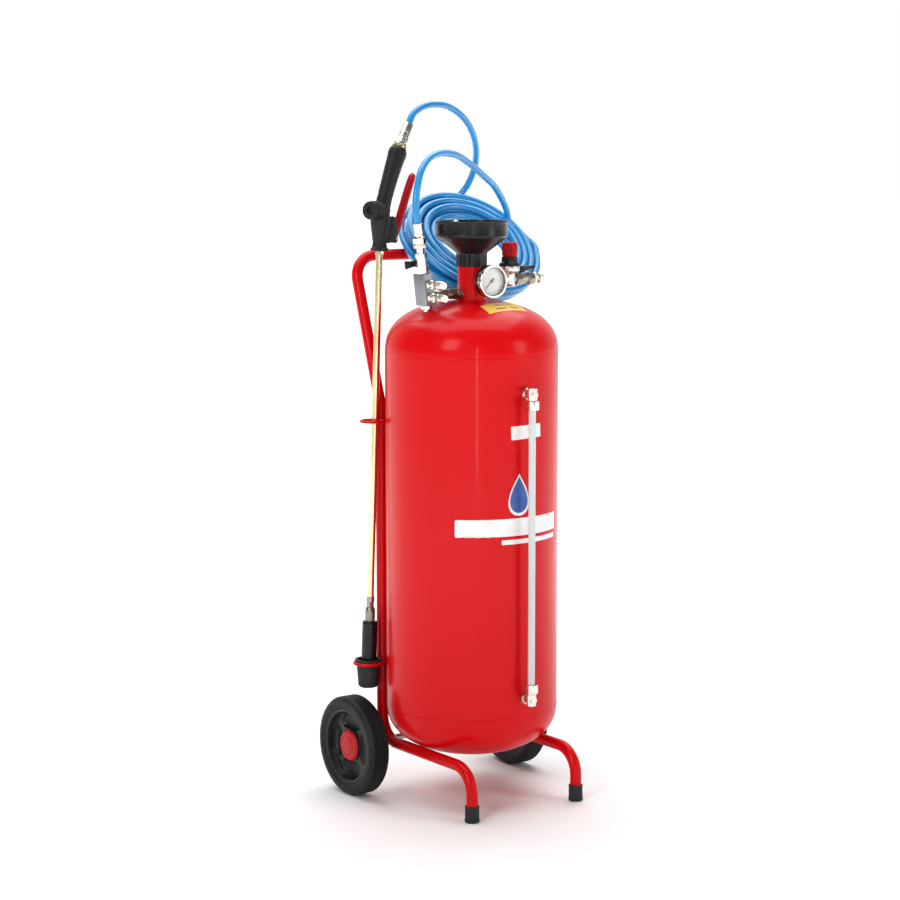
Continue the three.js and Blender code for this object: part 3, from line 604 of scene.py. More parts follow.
def makeLabels():
    stripe = softBox(215, 30, 3, (-16, 497))
    build("barrelStripe", [labelShell(stripe, onBarrel)], finish["whiteLabel"], "cart")
    thin = softBox(130, 8, 2, (22, 472))
    build("barrelLine", [labelShell(thin, onBarrel)], finish["whiteLabel"], "cart")
    plate = softBox(64, 23, 1.5, (6, 658), 0.03)
    build("levelPlate", [labelShell(plate, onBarrel)], finish["whiteLabel"], "cart")
    # a plain drop: its half width is 24 sin(t) sin(t / 2)^1.2 down a height of 62
    t = np.linspace(0, 2 * np.pi, 96, endpoint=False)
    drop = np.stack([-24 * np.sin(t) * np.abs(np.sin(t / 2)) ** 1.2 - 10, 552 + 31 * np.cos(t)], axis=-1)
    build("dropMark", [labelShell(drop, onBarrel)], finish["blueLabel"], "cart")
    build("dropEdge", [labelShell((drop - drop.mean(0)) * 1.16 + drop.mean(0), onBarrel, 0.12)],
          finish["whiteLabel"], "cart")
    corners = np.array([(-29, -64), (-33, -97), (52, -88), (66, -36)], float)
    share = np.arange(20)[None, :, None] / 20
    quad = (corners[:, None] + share * (np.roll(corners, -1, axis=0) - corners)[:, None]).reshape(-1, 2)
    build("dishLabel", [labelShell(quad, onTopDish)], finish["yellowLabel"], "cart")
    lines = [softBox(w, 3, 1, c, 0.12) for w, c in ((26, (2, -83)), (22, (34, -77)), (40, (18, -66)))]
    build("dishLabelBars", [labelShell(line, onTopDish, 0.4) for line in lines], finish["dialInk"], "cart")


makeTank()
makeLabels()
print("tank made")

funnelValues = {"socketRibs": 12, "ribDepth": 1.1, "bandTop": 1007.6, "bandBottom": 982.6, "radius": 62.5,
                "plugTurn": 144, "plugArmZ": 983.3}


def makeFunnel():
    v = funnelValues
    top, low, r = v["bandTop"], v["bandBottom"], v["radius"]
    profile = rounded([(23.6, 930.3), (26.75, 930.3, 0.5), (26.75, 931.5), (26.75, 934), (26.75, 940),
                       (26.75, 946), (26.75, 950), (26.75, 953, 1.5), (61.2, low - 3, 2.5), (r, low, 1),
                       (r, low + 1.8, 0.6), (r - 0.8, low + 2.6, 0.6), (r - 0.8, top - 4.2, 0.6),
                       (r, top - 3.2, 0.6), (r, top, 1.2), (r - 2.6, top, 1.2), (r - 2.8, low + 1, 2),
                       (23.6, 950.5, 2)], closed=True)

    def ribs(radius, z, angle):
        wave = np.abs(np.cos(angle * v["socketRibs"] / 2)) ** 0.4
        onSocket = (radius > 25) & (z > 931) & (z < 951)
        return radius - v["ribDepth"] * (1 - wave) * 2 * onSocket

    shell = turnedShell(profile, base, 144, closed=True, shape=ribs)
    build("funnel", [shell], finish["blackPlastic"], "cart", ["funnel"])
    turn = math.radians(v["plugTurn"])
    arm = np.array([math.cos(turn), math.sin(turn), 0])
    foot = np.array([0, 0, v["plugArmZ"]])
    knob = foot + arm * 27 + (0, 0, 21)
    s = np.linspace(0, 1, 14)[:, None]
    bow = np.sin(np.linspace(0, np.pi, 14))[:, None]
    spine = foot + (knob - foot) * s + np.array([0, 0, 3]) * bow * 0.4
    plug = steppedShell([("round", 19.9, 927.5, 947.2), ("ribs", 22.6, 947.3, 952.3, 40, 0.7),
                         ("cone", 13, 952.3, 963.3, 12), ("cone", 12, 963.3, 986.3, 5)], base)
    stick = sweptShell(moved(spine, base), circle(3.2, 20), (0, 0, 1))
    ball = turnedShell(sphereProfile(5), inside(base, place(knob)), 32)
    build("fillerPlug", [plug, stick, ball], finish["nickelPlate"], "filler_plug", ["filler_plug"])


def sphereProfile(radius, points=17):
    angle = np.linspace(-np.pi / 2, np.pi / 2, points)
    return np.stack([radius * np.cos(angle).clip(0), radius * np.sin(angle)], axis=-1)


gaugeValues = {"centre": (0, -43.15, 906.5), "caseRadius": 27.5, "depth": 17.7, "dialRadius": 25.3,
               "dialFace": 13, "ticks": 31, "tickStep": 9, "startAngle": 225, "scaleRadius": 23.2,
               "needleAngle": 135}  # mm, degrees


def makeGauge():
    v = gaugeValues
    where = at(v["centre"], (0, -1, 0))
    case = turnedPart([(0, 0), (24, 0, 2), (v["caseRadius"], 2.5, 2), (v["caseRadius"], v["depth"], 0.4),
                       (25.8, v["depth"], 0.4), (25.8, 11.7), (0, 11.7)], where, 96)
    stem = steppedShell([("round", 4.7, -20, -11.9), ("hex", 14, -12, -0.2)], where)
    build("gaugeCase", [case], finish["blackPlastic"], "cart", ["gauge_case"])
    build("gaugeStem", [stem], finish["nickelPlate"], "cart")
    dial = turnedPart([(1.5, 12), (v["dialRadius"], 12), (v["dialRadius"], v["dialFace"], 0.2),
                       (1.5, v["dialFace"])], where, 96, closed=True)
    build("gaugeDial", [dial], finish["whiteDial"], "cart", ["gauge_dial"])
    ticks = []
    for k in range(v["ticks"]):
        angle = math.radians(v["startAngle"] - v["tickStep"] * k)
        out = np.array([math.cos(angle), math.sin(angle), 0])
        length, width = (3.4, 0.55) if k % 5 == 0 else (1.9, 0.28)
        spot = inside(where,
                      place(out * (v["scaleRadius"] - length / 2) + (0, 0, v["dialFace"]), (0, 0, 1), out))
        ticks.append(plateShell(roundRect(length, width, 0.08, 2), -0.1, 0.12, spot, 0.02))
    arc = ringShell(23.3, 0.16, inside(where, place((0, 0, 13.0))), 120, 6)
    build("gaugeScale", ticks + [arc], finish["dialInk"], "cart")
    turn = math.radians(v["needleAngle"])
    spot = inside(where, place((0, 0, 13.6), (0, 0, 1), (math.cos(turn), math.sin(turn), 0)))
    blade = [(0.95, -7), (1.5, -4.5), (0.9, -1.5), (0.9, 1.5), (0.28, 18.6), (-0.28, 18.6), (-0.9, 1.5),
             (-0.9, -1.5), (-1.5, -4.5), (-0.95, -7)]
    needle = plateShell(blade, 0.35, 1.2, spot, 0.1)
    hub = turnedPart([(0, 0), (2.6, 0), (2.6, 2.3, 0.8), (0, 2.4)], spot, 40)
    build("gaugePointer", [needle, hub], finish["dialInk"], "gauge_needle",
          ["gauge_pointer"])
    lens = turnedPart([(0, 18), (27, 18, 0.2), (27, 20.2, 0.4), (0, 20.5)], where, 96)
    build("gaugeLens", [lens], finish["clearWindow"], "cart", ["gauge_lens"])
    bezel = turnedPart([(27.8, 12.7), (28.9, 12.7, 0.4), (28.9, 20.6, 1.2), (27.6, 22.1, 0.8),
                        (24.6, 21.9, 0.6), (24.5, 20.8), (27.8, 20.8)], where, 96, closed=True)
    build("gaugeBezel", [bezel], finish["nickelPlate"], "cart", ["gauge_bezel"])


airValues = {"z": 905, "regulatorX": 81.8, "leverX": 107.5, "leverZ": 916.3, "safetyTurn": 36}  # mm, degrees


def makeAirRow():
    v = airValues
    z = v["z"]
    row = at((0, 0, z), (1, 0, 0), (0, 0, -1))
    bar = steppedShell([("round", 7, 21, 27.9), ("hex", 19, 28, 39), ("round", 7.4, 39, 47.9),
                        ("hex", 18, 48, 56), ("round", 9, 56, 66), ("round", 7.6, 66, 92)], row)
    stack = at((v["regulatorX"], 0, 0))
    bowl = turnedPart([(0, 893), (7, 893, 1.5), (10, 896, 2), (10, 914, 2), (14, 917.6, 2), (18, 919, 1.5),
                       (18, 926.5, 0.8), (17.4, 928), (0, 928)], stack, 72)
    build("regulatorBody", [bar, bowl], finish["satinNickel"], "cart", ["regulator_body"])
    bonnet = steppedShell([("ribs", 18.6, 928.3, 932.2, 48, 0.5), ("cone", 16.4, 932.2, 935.5, 14.2),
                           ("ribs", 14.2, 935.5, 943.6, 30, 0.7)], stack, 144)
    build("regulatorBonnet", [bonnet], finish["blackPlastic"], "cart", ["regulator_bonnet"])
    knob = steppedShell([("round", 12.2, 944, 946), ("ribs", 13.4, 946, 953, 22, 1.3),
                         ("ribs", 13.8, 953, 966, 22, 1.3), ("cone", 13.2, 966, 969.4, 11.6)], stack, 176,
                        0.8)
    build("regulatorKnob", [knob], finish["redPlastic"], "regulator_knob", ["regulator_knob"])
    valve = steppedShell([("hex", 21, 92.3, 104.3), ("round", 9.6, 104.3, 107), ("round", 8.4, 107, 118),
                          ("round", 9.6, 118, 120.7), ("hex", 20, 120.8, 130.8)], row)
    stem = steppedShell([("hex", 8.5, 908, 913.2), ("round", 4, 913.2, 917.5)], at((v["leverX"], 0, 0)))
    build("airValveBody", [valve, stem], finish["sandedNickel"], "cart", ["air_valve_body"])
    lever = at((v["leverX"], 0, v["leverZ"]), (0, -1, 0))
    wedge = plateShell([(-7, 3), (0, 2.4), (9, 3), (19, 4.4), (26.4, 6.4), (27, 8), (25.6, 11), (20, 11.2),
                        (8, 10.6), (-5, 10.4), (-7, 8.6)], -5.5, 5.5, lever, 1.2)
    hub = turnedPart([(0, 0), (6.2, 0, 0.5), (6.2, 10.6, 1.2), (2.4, 11.2, 0.4), (0, 10.6)],
                     at((v["leverX"], 0, v["leverZ"])), 40)
    build("airLever", [wedge, hub], finish["blackPlastic"], "air_lever", ["air_valve_lever"])
    plug = steppedShell([("knurl", 10.3, 131.1, 137.3, 34, 0.6), ("round", 6.5, 137.4, 141.8),
                         ("cone", 7.2, 141.8, 143.3, 9.2), ("knurl", 9.3, 143.3, 150, 30, 0.5),
                         ("cone", 8.6, 150, 154, 7)], row, 136, 0.3, bore=4)
    build("airPlug", [plug], finish["nickelPlate"], "cart", ["air_plug"])
    aside = math.radians(v["safetyTurn"])
    back = at((0, 0, z), (math.sin(aside), math.cos(aside), 0), (math.cos(aside), -math.sin(aside), 0))
    safety = steppedShell([("round", 6, 21, 28.9), ("hex", 17, 29, 38), ("round", 9, 38, 46),
                           ("ribs", 8.4, 46, 58, 16, 0.8), ("round", 6.5, 58, 62),
                           ("cone", 5.5, 62, 65.9, 3)], back)
    pull = ringShell(6.4, 0.7, inside(back, place((0, 0, 60), (1, 0, 0), (0, 1, 0))), 48, 10)
    build("safetyValve", [safety, pull], finish["paleBrass"], "cart", ["safety_valve"])


makeFunnel()
makeGauge()
makeAirRow()
print("neck fittings made")

manifoldValues = {"foot": (-95, 0, 860.9), "lean": 7.0, "needles": (("Upper", 42), ("Lower", 20)),
                  "linkZ": 884, "valveZ": 76.6, "leverOut": 15.3}  # mm, degrees


def makeManifold():
    v = manifoldValues
    stand = at(v["foot"], *leaned(-math.radians(v["lean"])))
    nut = steppedShell([("round", 5.4, -12, 0), ("hex", 17, 0.1, 6)], stand)
    build("baseNut", [nut], finish["nickelPlate"], "cart", ["base_nut"])
    block = plateShell(roundRect(20, 32, 1.2), 6.3, 60.3, stand, 0.8)
    build("outletBlock", [block], finish["blockAluminium"], "cart", ["outlet_block"])
    for name, z in v["needles"]:
        out = inside(stand, place((0, 0, z), (0, -1, 0)))
        body = steppedShell([("round", 7.6, 16.2, 17.6), ("hex", 15, 17.6, 23.3), ("round", 6, 23.3, 31),
                             ("hex", 14, 31.3, 37.2)], out)
        build("needleBody" + name, [body], finish["nickelPlate"], "cart",
              ["needle_body_" + name.lower()])
        knob = steppedShell([("round", 3, 37.6, 42.6), ("cone", 5.5, 42.6, 44.4, 7.6),
                             ("knurl", 7.8, 44.4, 54, 26, 0.55), ("round", 7.0, 54, 55.2),
                             ("cone", 7.7, 55.2, 58.2, 6.4)], out, 120)
        build("needleKnob" + name, [knob], finish["nickelPlate"], "needle_" + name.lower(),
              ["needle_knob_" + name.lower()])
    link = steppedShell([("round", 6, -88, -76), ("cone", 6, -76, -66, 8.6), ("hex", 16, -66, -55),
                         ("round", 8.4, -55, -46), ("hex", 18, -46, -34), ("cone", 10.2, -34, -27, 8.6),
                         ("round", 8.6, -27, -22)], at((0, 0, v["linkZ"]), (1, 0, 0), (0, 0, -1)))
    build("airLink", [link], finish["sandedNickel"], "cart", ["air_link"])
    valve = steppedShell([("hex", 18, 60.6, 69.6), ("round", 8.6, 69.6, 86.6), ("hex", 17, 86.6, 95)], stand)
    stem = steppedShell([("round", 4, 0, 15.2)], inside(stand, place((0, 0, v["valveZ"]), (0, 1, 0))))
    build("hoseValveBody", [valve, stem], finish["nickelPlate"], "cart", ["hose_valve_body"])
    # the wing's half height is 5 + 2.4 (x / 21)^2
    x = np.linspace(-20, 20, 25)
    half = 5 + 2.4 * (x / 21) ** 2
    wing = np.vstack([np.stack([x, -half], -1), [(21, -6), (21, 6)], np.stack([x, half], -1)[::-1],
                      [(-21, 6), (-21, -6)]])
    spot = inside(stand, place((0, v["leverOut"], v["valveZ"]), (0, -1, 0)))
    hub = turnedPart([(0, -7), (5, -7, 0.5), (6, -6, 0.5), (6, 0), (0, 0)], spot, 36)
    build("hoseLever", [plateShell(wing, -7, -2, spot, 1.1), hub], finish["blackPlastic"], "hose_lever",
          ["hose_valve_lever"])
    union = steppedShell([("hex", 11, 95.3, 104.3), ("knurl", 11.3, 104.3, 110, 30, 0.6),
                          ("round", 9.6, 110, 112), ("hex", 19.4, 112, 121), ("cone", 10.6, 121, 124.3, 8.6),
                          ("round", 8.5, 124.3, 130.5), ("round", 8.1, 130.5, 133),
                          ("round", 8.5, 133, 144.8)], stand, 120)
    build("tankUnion", [union], finish["nickelPlate"], "cart", ["tank_union"])


# the third value points away from the tube
levelValues = {"y": -172, "fittings": (("Top", 724, 1), ("Bottom", 199, -1)), "nutGap": 11.3,
               "nutHeight": 15.7, "tube": 6, "tubeBore": 4.5, "tubeLow": 210.3, "tubeTop": 712.7}


def makeLevelGauge():
    v = levelValues
    y = v["y"]
    for name, z, away in v["fittings"]:
        out = at((0, 0, z), (0, -1, 0))
        arm = steppedShell([("round", 7.5, 146, 150), ("hex", 18, 150, 158), ("round", 7.5, 158, 174)], out)
        low, high = sorted((-11 * away, 10 * away))
        upright = steppedShell([("round", 8.3, low, high)], at((0, y, z)), 48, 0.8)
        cap = steppedShell([("hex", 12, 174, 180)], out)
        build("levelFitting" + name, [arm, upright, cap], finish["nickelPlate"], "cart",
              ["level_fitting_" + name.lower()])
        foot = -v["nutGap"] - v["nutHeight"] if away > 0 else v["nutGap"]
        nut = steppedShell([("hex", 20, foot, foot + v["nutHeight"])], at((0, y, z)), 72, 0.7, bore=6.3)
        build("levelNut" + name, [nut], finish["nickelPlate"], "cart",
              ["level_nut_" + name.lower()])
    tube = turnedPart([(v["tubeBore"], v["tubeLow"]), (v["tube"], v["tubeLow"], 0.2),
                       (v["tube"], v["tubeTop"], 0.2), (v["tubeBore"], v["tubeTop"])], at((0, y, 0)), 40,
                      closed=True)
    build("levelTube", [tube], finish["milkyTube"], "cart", ["level_tube"])


makeManifold()
makeLevelGauge()
print("manifold and level gauge made")

frameValues = {"tube": 10, "x": 112.5, "bend": 45, "footY": -155, "runZ": 89.6, "uprightY": 114.47,
               "jointZ": 675, "handleY": 198.6, "handleZ": 943, "axle": (112.77, 87.7), "cup": (-147, 107.97),
               "ringZ": 233}


def makeFrame():
    v = frameValues
    paint = finish["redPaint"]
    for name, side in (("Left", -1), ("Right", 1)):
        x = side * v["x"]
        corners = [(x, v["footY"], 5.3), (x, v["footY"], v["runZ"]), (x, v["uprightY"], v["runZ"]),
                   (x, v["uprightY"], v["jointZ"])]
        legs = sweptShell(moved(bentPath(corners, v["bend"]), base), circle(v["tube"], 40), (1, 0, 0))
        axleY, axleZ = v["axle"]
        bendY, bendZ = v["uprightY"] - v["bend"], v["runZ"] + v["bend"]
        weld = v["bend"] + v["tube"] - 1.5
        outer = np.radians(np.linspace(-115, 25, 22))
        inner = np.radians(np.linspace(-22, -72, 14))
        outline = np.vstack([np.stack([axleY + 12.5 * np.cos(outer), axleZ + 12.5 * np.sin(outer)], -1),
                             np.stack([bendY + weld * np.cos(inner), bendZ + weld * np.sin(inner)], -1)])
        lug = plateShell(outline, -3, 3, at((x, 0, 0), (1, 0, 0), (0, 1, 0)), 0.7)
        bead = ringShell(v["tube"] - 0.2, 0.9, at((x, v["uprightY"], v["jointZ"])), 64, 8, 0.2)
        build("frame" + name, [legs, lug, bead], paint, "cart", ["frame_" + name.lower()])
        cap = turnedPart([(0, 0), (11.6, 0, 0.6), (12.8, 1.4, 0.8), (12.8, 5, 0.5), (12.1, 8, 1),
                          (12.2, 26.6, 0.5), (12.6, 28, 0.5), (10.3, 28, 0.3), (10.3, 5), (0, 5)],
                         at((x, v["footY"], 0)), 64)
        build("footCap" + name, [cap], finish["capRubber"], "cart",
              ["foot_cap_" + name.lower()])
    corners = [(-v["x"], v["uprightY"], v["jointZ"] + 0.3), (-v["x"], v["uprightY"], v["jointZ"] + 9),
               (-v["x"], v["handleY"], v["handleZ"]), (v["x"], v["handleY"], v["handleZ"]),
               (v["x"], v["uprightY"], v["jointZ"] + 9), (v["x"], v["uprightY"], v["jointZ"] + 0.3)]
    handle = handlePath(corners, v["bend"])
    hoop = sweptShell(moved(handle, base), circle(v["tube"], 40), (0, -0.95, 0.3))
    build("pushHandle", [hoop], paint, "cart", ["push_handle"])
    cupX, cupY = v["cup"]
    ring = ringShell(24, 3, at((cupX, cupY, v["ringZ"])), 96, 20)
    build("cupRing", [ring], paint, "cart", ["cup_ring"])
    guide = ringShell(19, 2.5, at((cupX + 7, cupY - 6, v["jointZ"] - 13)), 96, 20)
    build("lanceRing", [guide], paint, "cart", ["lance_ring"])
    seat = v["ringZ"] + 3.3
    cup = turnedPart([(0, 190), (15, 190, 1.5), (17.8, 193, 1.5), (20.4, v["ringZ"] - 4, 0.6),
                      (20.5, seat, 0.4), (23.5, seat, 0.8), (23.5, seat + 4, 1.2), (18.6, seat + 4, 0.8),
                      (15.4, 194, 1), (0, 194)], at((cupX, cupY, 0)), 72)
    build("lanceCup", [cup], finish["capRubber"], "cart", ["lance_cup"])


def handlePath(corners, radius):
    # only the two upper corners are arcs; the two lower ones bend too little to need one
    upper = bentPath(corners[1:5], radius)
    return np.vstack([[corners[0]], upper, [corners[-1]]])


wheelValues = {"x": 175.3, "radius": 87.7, "width": 40, "rim": 66, "grooves": 6, "grooveDepth": 2.4,
               "pocketReach": 44, "pocketDepth": 9.0}


def makeWheels():
    v = wheelValues
    axleY, axleZ = frameValues["axle"]
    axle = steppedShell([("round", 6, -186.2, 186.2)], at((0, axleY, axleZ), (1, 0, 0), (0, 0, -1)), 40, 1.0)
    build("axleBar", [axle], finish["zincSteel"], "cart", ["axle"])
    half = v["width"] / 2
    for name, side in (("Left", -1), ("Right", 1)):
        where = at((side * v["x"], axleY, axleZ), (side, 0, 0), (0, 0, -side))
        body = "wheel_" + name.lower()
        seat = v["rim"] + 0.3
        tread = []
        for k in range(v["grooves"]):
            z = (k - (v["grooves"] - 1) / 2) * 4.6
            tread += [(v["radius"], z - 1.1, 0.25), (v["radius"] - v["grooveDepth"], z - 0.7, 0.2),
                      (v["radius"] - v["grooveDepth"], z + 0.7, 0.2), (v["radius"], z + 1.1, 0.25)]
        profile = [(seat, -half + 3), (seat + 3, -half + 2.4, 1), (seat + 6, -half + 0.4, 1.5),
                   (v["radius"] - 9, -half, 2), (v["radius"] - 3.2, -half + 2.2, 2),
                   (v["radius"], -half + 6.2, 1.5)]
        mirror = [(c[0], -c[1], *c[2:]) for c in profile[::-1]]
        tyre = turnedShell(rounded(profile + tread + mirror, True, 4), where, 120, closed=True)
        build("tyre" + name, [tyre], finish["tyreRubber"], body, ["tyre_" + name.lower()], 40)
        build("rim" + name, [rimShell(where)], finish["rimPlastic"], body,
              ["rim_" + name.lower()], 38)
        cap = turnedPart([(0, 12), (6.3, 12), (6.3, 8.3), (27, 8.3, 0.6), (28, 9.6, 0.8), (25, 12.6, 1.2),
                          (19, 13.4, 0.6), (18, 12.7, 0.5), (16.5, 12.8, 0.5), (15.5, 13.6, 0.6),
                          (8, 14.3, 1), (0, 14.5)], where, 96)
        build("hubCap" + name, [cap], finish["redPlastic"], body, ["hub_cap_" + name.lower()])


def rimShell(where):
    # the rim's outline turned round, its front face pressed in at four ovals:
    # the depth is D (1 - u^4)^0.6, u being the distance from the oval's middle as a share of its size
    v = wheelValues
    face = [(r, 6.0) for r in np.linspace(58, 27, 40)]
    corners = [(6.3, -19), (14, -19, 1), (17, -5, 1.5), (58, -5, 1.5), (61, -17, 1), (66, -17, 0.8),
               (66, 17, 0.8), (63.5, 17, 0.8), (61, 16, 1), (59.5, 8, 1.5)]
    profile = np.vstack([rounded(corners, False, 4), face, [(26, 6.6), (25, 7.6), (24, 8), (6.3, 8)]])
    angle = np.linspace(0, 2 * np.pi, 160, endpoint=False)[None, :]
    r, z = profile[:, :1] + 0 * angle, profile[:, 1:] + 0 * angle
    fromPocket = (angle + np.pi / 4) % (np.pi / 2) - np.pi / 4
    u = np.hypot((r - v["pocketReach"]) / 16.5, fromPocket / (0.72 * (0.75 + 0.25 * (60 - r) / 30)))
    depth = v["pocketDepth"] * np.clip(1 - u ** 4, 0, 1) ** 0.6 * np.clip(1.25 - (r - 30) / 90, 0, 1)
    onFace = (profile[:, 1:] == 6.0) & (profile[:, :1] < 59)
    z = z - depth * onFace
    grid = np.stack([r * np.cos(angle), r * np.sin(angle), z], axis=-1)
    return gridShell(moved(grid, where), closeRows=True)


makeFrame()
makeWheels()
print("frame and wheels made")

gunValues = {"foot": (-147, 107.97, 200), "line": (21.2, -11.5, 756.0), "triggerSide": (0.915, 0.404, -0.020),
             "length": 756.38, "chamber": 69, "gripLength": 117, "gripFoot": 4, "pinX": 40, "pinUp": 20,
             "cheekOut": 8.6, "gripLean": 25.7, "triggerLean": 28.0, "triggerLength": 129, "unionLean": 36.0}


def makeLance():
    v = gunValues
    stand = at(v["foot"], v["line"], v["triggerSide"])
    sleeve = turnedPart([(0, 22), (11, 22), (11, -5), (13.5, -5, 0.8), (13.5, 104, 1), (12.6, 108, 0.8),
                         (0, 108)], stand, 64)
    build("nozzleSleeve", [sleeve], finish["blackPlastic"], "lance", ["nozzle_sleeve"])
    fitting = steppedShell([("round", 8.4, 108.3, 111), ("knurl", 9, 111, 126, 32, 0.5),
                            ("round", 8.6, 126, 128), ("cone", 8.6, 128, 133, 7.4), ("hex", 12.6, 133, 143),
                            ("round", 7.2, 143, 151)], stand, 96)
    build("nozzleFitting", [fitting], finish["sandedNickel"], "lance", ["nozzle_fitting"])
    tube = steppedShell([("round", 6, 151.3, 749.8), ("hex", 14.6, 749.8, 756.3)], stand, 72)
    build("lanceTube", [tube], finish["paleBrass"], "lance", ["lance_tube"])
    low = v["length"] + 0.3
    chamber = low + v["chamber"]
    collar = turnedPart([(0, low), (15.5, low, 0.8), (15.5, low + 4, 0.8), (13.2, low + 6, 1),
                         (12.2, low + 12, 1), (0, low + 12)], stand, 64)
    def flutes(r, z, angle):
        # shallow cuts along the barrel's slim half
        return r - 0.5 * (np.cos(12 * angle) < -0.4) * (z > low + 14) * (z < low + 50) * (r > 3)

    barrel = turnedPart([(0, low + 10), (12, low + 10, 1), (12.2, low + 16, 1), (16.6, low + 46, 3),
                         (17, low + 54, 3), (15, low + 80, 1), (0, low + 80)], stand, 120, shape=flutes)
    cross = inside(stand, place((0, 0, chamber), (1, 0, 0), (0, 0, -1)))
    housing = turnedPart([(0, -28), (14.6, -28, 0.6), (16.6, -26, 1), (16.6, -8, 1), (14.5, 0, 3),
                          (14.5, 10, 3), (11, 14, 2), (0, 14)], cross, 64)
    lean = math.radians(v["gripLean"])
    s = np.linspace(0, 1, 40)
    bow = 2.2 * np.sin(np.pi * s)
    axis, across = (np.array(vector) for vector in leaned(lean))
    foot = np.array([v["gripFoot"], 0, chamber])
    spine = foot + v["gripLength"] * s[:, None] * axis - bow[:, None] * across
    size = np.interp(s, [0, 0.2, 0.5, 0.8, 0.9, 0.955, 1], [15.0, 14.0, 14.8, 16.4, 17.4, 17.0, 13.6])
    ridge = 0.35 * (np.abs(np.sin(s * np.pi * 26)) ** 0.6 - 1) * ((s > 0.18) & (s < 0.86))
    around = np.linspace(0, 2 * np.pi, 48, endpoint=False)
    section = np.stack([np.cos(around) * 1.0, np.sin(around) * 0.9], axis=-1)
    grip = sweptShell(moved(spine, stand), section[None] * (size + ridge)[:, None, None],
                      stand[:, :3] @ across)
    cheek = [(-18, -22), (8, -23), (11, -21), (12.6, -17), (12.2, -6), (7, 14), (3, 21), (-2, 23), (-18, 23)]
    cheeks = [plateShell(cheek, side * v["cheekOut"] - 1.6, side * v["cheekOut"] + 1.6,
                         inside(stand, place((31, 0, low + 36), (0, -1, 0))), 0.8) for side in (-1, 1)]
    bridge = plateShell(roundRect(8, 19.8, 2), low + 13, low + 59, inside(stand, place((15, 0, 0))), 1)
    build("gunBody", [collar, barrel, housing, grip, bridge] + cheeks, finish["gripPlastic"], "lance",
          ["gun_body"])
    pinSpot = inside(stand, place((v["pinX"], 0, low + v["pinUp"]), (0, 1, 0)))
    pin = steppedShell([("round", 3.6, -11.4, -9.9), ("round", 2.4, -9.9, 9.9), ("round", 3.6, 9.9, 11.4)],
                       pinSpot, 32)
    build("gunPin", [pin], finish["zincSteel"], "lance")
    plugSpot = inside(stand, place((-28.3, 0, chamber), (-1, 0, 0), (0, 0, 1)))

    def hexHole(r, z, angle):
        fromFlat = (angle + np.pi / 6) % (np.pi / 3) - np.pi / 6
        return np.where((r > 0.5) & (r < 7.5), 6 / np.cos(fromFlat), r)

    plug = turnedPart([(0, 0), (15.6, 0), (15.6, 4.8, 0.8), (14.2, 5.6, 0.5), (7, 5.6), (7, 1.6), (0, 1.6)],
                      plugSpot, 96, shape=hexHole)
    build("gunPlug", [plug], finish["gripPlastic"], "lance", ["gun_plug"])
    brassRing = inside(stand, place(foot + (v["gripLength"] + 0.3) * axis, axis, across))
    ring = steppedShell([("round", 13.9, -1.0, 2.4), ("cone", 12.4, 2.4, 5.5, 9.8)], brassRing, 64, 0.5)
    build("gripRing", [ring], finish["paleBrass"], "lance")
    tilt = math.radians(v["unionLean"])
    unionSpot = inside(stand, place((57, 0, chamber + 109), *leaned(tilt)))
    union = steppedShell([("round", 12.3, 0.1, 4), ("hex", 19.8, 4, 15), ("round", 10.6, 15, 18),
                          ("round", 9.5, 18, 26), ("round", 9.0, 26, 28), ("cone", 9.5, 28, 47, 9.0)],
                         unionSpot, 96)
    build("gunUnion", [union], finish["nickelPlate"], "lance", ["gun_union"])
    makeTrigger(stand, low + v["pinUp"])


def makeTrigger(stand, pivotZ):
    v = gunValues
    # the lever's own frame: z up the lever, x away from the grip, y across
    spot = inside(stand, place((v["pinX"], 0, pivotZ), *leaned(math.radians(v["triggerLean"]))))
    boss = steppedShell([("round", 6, -6.8, 6.8)], inside(spot, place((0, 0, 0), (0, 1, 0))), 40, 0.8)
    s = np.linspace(0, 1, 44)
    spine = np.stack([3.4 + 0.5 * np.sin(s * 2 * np.pi) - 2.6 * np.clip(1 - s * 7, 0, 1), 0 * s,
                      v["triggerLength"] * s], axis=-1)
    width = np.interp(s, [0, 0.12, 0.9, 0.965, 0.99, 1], [12.4, 14, 14, 12.6, 9, 5])
    thick = np.interp(s, [0, 0.14, 0.3, 0.6, 0.85, 0.96, 0.99, 1], [11, 12, 12.4, 11, 8.6, 7.4, 5.4, 3])
    unitBox = roundRect(1, 1, 0.36, 7)
    section = np.stack([unitBox[None, :, 0] * thick[:, None], unitBox[None, :, 1] * width[:, None]], axis=-1)
    lever = sweptShell(moved(spine, spot), section, spot[:, 0])
    build("trigger", [boss, lever], finish["redPlastic"], "trigger", ["gun_trigger"], 45)


makeLance()
print("lance and gun made")

studioValues = {"floor": 0.92, "ahead": 1.0, "behind": 0.16, "top": 240, "key": 60, "fill": 34, "strip": 11,
                "fade": (0.5, 2.6)}  # the floor turns white between these distances in metres


def areaLight(name, where, aim, size, power):
    data = bpy.data.lights.new(name, "AREA")
    data.shape = "RECTANGLE"
    data.size, data.size_y = size
    data.energy = power
    lamp = bpy.data.objects.new(name, data)
    lamp.location = where
    lamp.rotation_mode = "QUATERNION"
    lamp.rotation_quaternion = (Vector(aim) - Vector(where)).to_track_quat("-Z", "Y")
    scene.collection.objects.link(lamp)


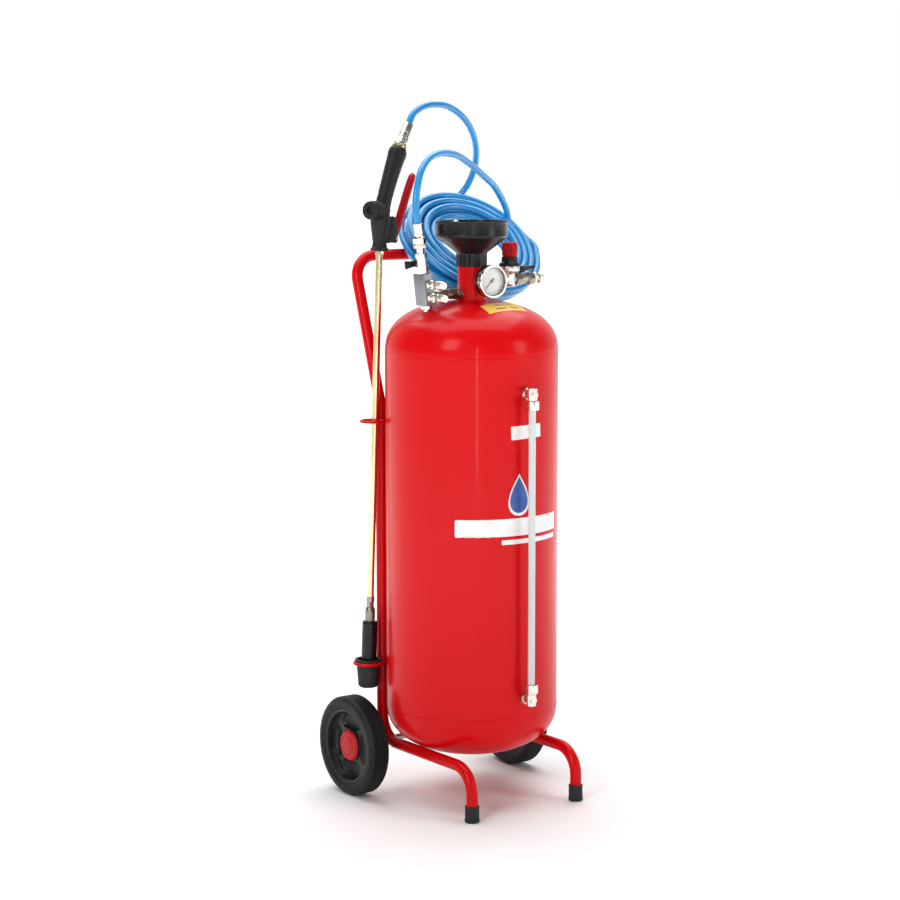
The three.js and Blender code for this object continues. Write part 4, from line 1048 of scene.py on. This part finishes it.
def makeStudio():
    v = studioValues
    pale = newFinish("paleFloor", (v["floor"],) * 3, 0.9, 0, {"Specular IOR Level": 0.1})
    nodes, links = pale.node_tree.nodes, pale.node_tree.links
    # the floor fades to plain white away from the cart
    coordinate = nodes.new("ShaderNodeTexCoord")
    away = nodes.new("ShaderNodeVectorMath")
    away.operation = "LENGTH"
    fade = nodes.new("ShaderNodeMapRange")
    fade.interpolation_type = "SMOOTHSTEP"
    fade.inputs["From Min"].default_value, fade.inputs["From Max"].default_value = v["fade"]
    links.new(coordinate.outputs["Object"], away.inputs[0])
    links.new(away.outputs["Value"], fade.inputs["Value"])
    links.new(fade.outputs["Result"], nodes["Principled BSDF"].inputs["Emission Strength"])
    nodes["Principled BSDF"].inputs["Emission Color"].default_value = (1, 1, 1, 1)
    turn = np.linspace(0, 2 * np.pi, 64, endpoint=False)
    reach = np.array([0.0, 2.0, 14.0, 40.0])[:, None]
    grid = np.stack([reach * np.cos(turn), reach * np.sin(turn), 0 * reach * turn - 0.0005], axis=-1)
    points, faces = gridShell(grid)
    mesh = bpy.data.meshes.new("floor")
    mesh.from_pydata(points.tolist(), [], [list(face) for face in faces])
    mesh.materials.append(pale)
    floor = bpy.data.objects.new("floor", mesh)
    scene.collection.objects.link(floor)
    world = bpy.data.worlds.new("studio")
    world.use_nodes = True
    nodes, links = world.node_tree.nodes, world.node_tree.links
    # white behind the cart, dimmer behind the viewer: the direction's share along the view chooses
    coordinate = nodes.new("ShaderNodeTexCoord")
    along = nodes.new("ShaderNodeVectorMath")
    along.operation = "DOT_PRODUCT"
    turn = math.radians(-cameraValues["azimuth"])
    along.inputs[1].default_value = (math.sin(turn), math.cos(turn), 0)
    ramp = nodes.new("ShaderNodeValToRGB")
    for stop, value, where in ((0, v["behind"], 0.25), (1, v["ahead"], 0.82)):
        ramp.color_ramp.elements[stop].position = where
        ramp.color_ramp.elements[stop].color = (value, value, value, 1)
    links.new(coordinate.outputs["Generated"], along.inputs[0])
    links.new(along.outputs["Value"], ramp.inputs["Fac"])
    links.new(ramp.outputs["Color"], nodes["Background"].inputs["Color"])
    scene.world = world
    areaLight("top", (0.6, 1.2, 4.4), (0.1, 0.2, 0), (5.0, 5.0), v["top"])
    areaLight("key", (-3.4, -1.6, 2.6), (0, 0, 0.5), (1.4, 2.2), v["key"])
    areaLight("fill", (2.2, -3.6, 1.8), (0, 0, 0.6), (1.2, 2.0), v["fill"])
    areaLight("strip", (-2.0, -3.6, 1.0), (0, 0, 0.55), (0.10, 2.4), v["strip"])
    scene.view_settings.view_transform = "Standard"


makeStudio()

dipTube = bpy.data.objects["dip_tube"]
for slot in dipTube.material_slots:
    slot.material = finish["zincSteel"]
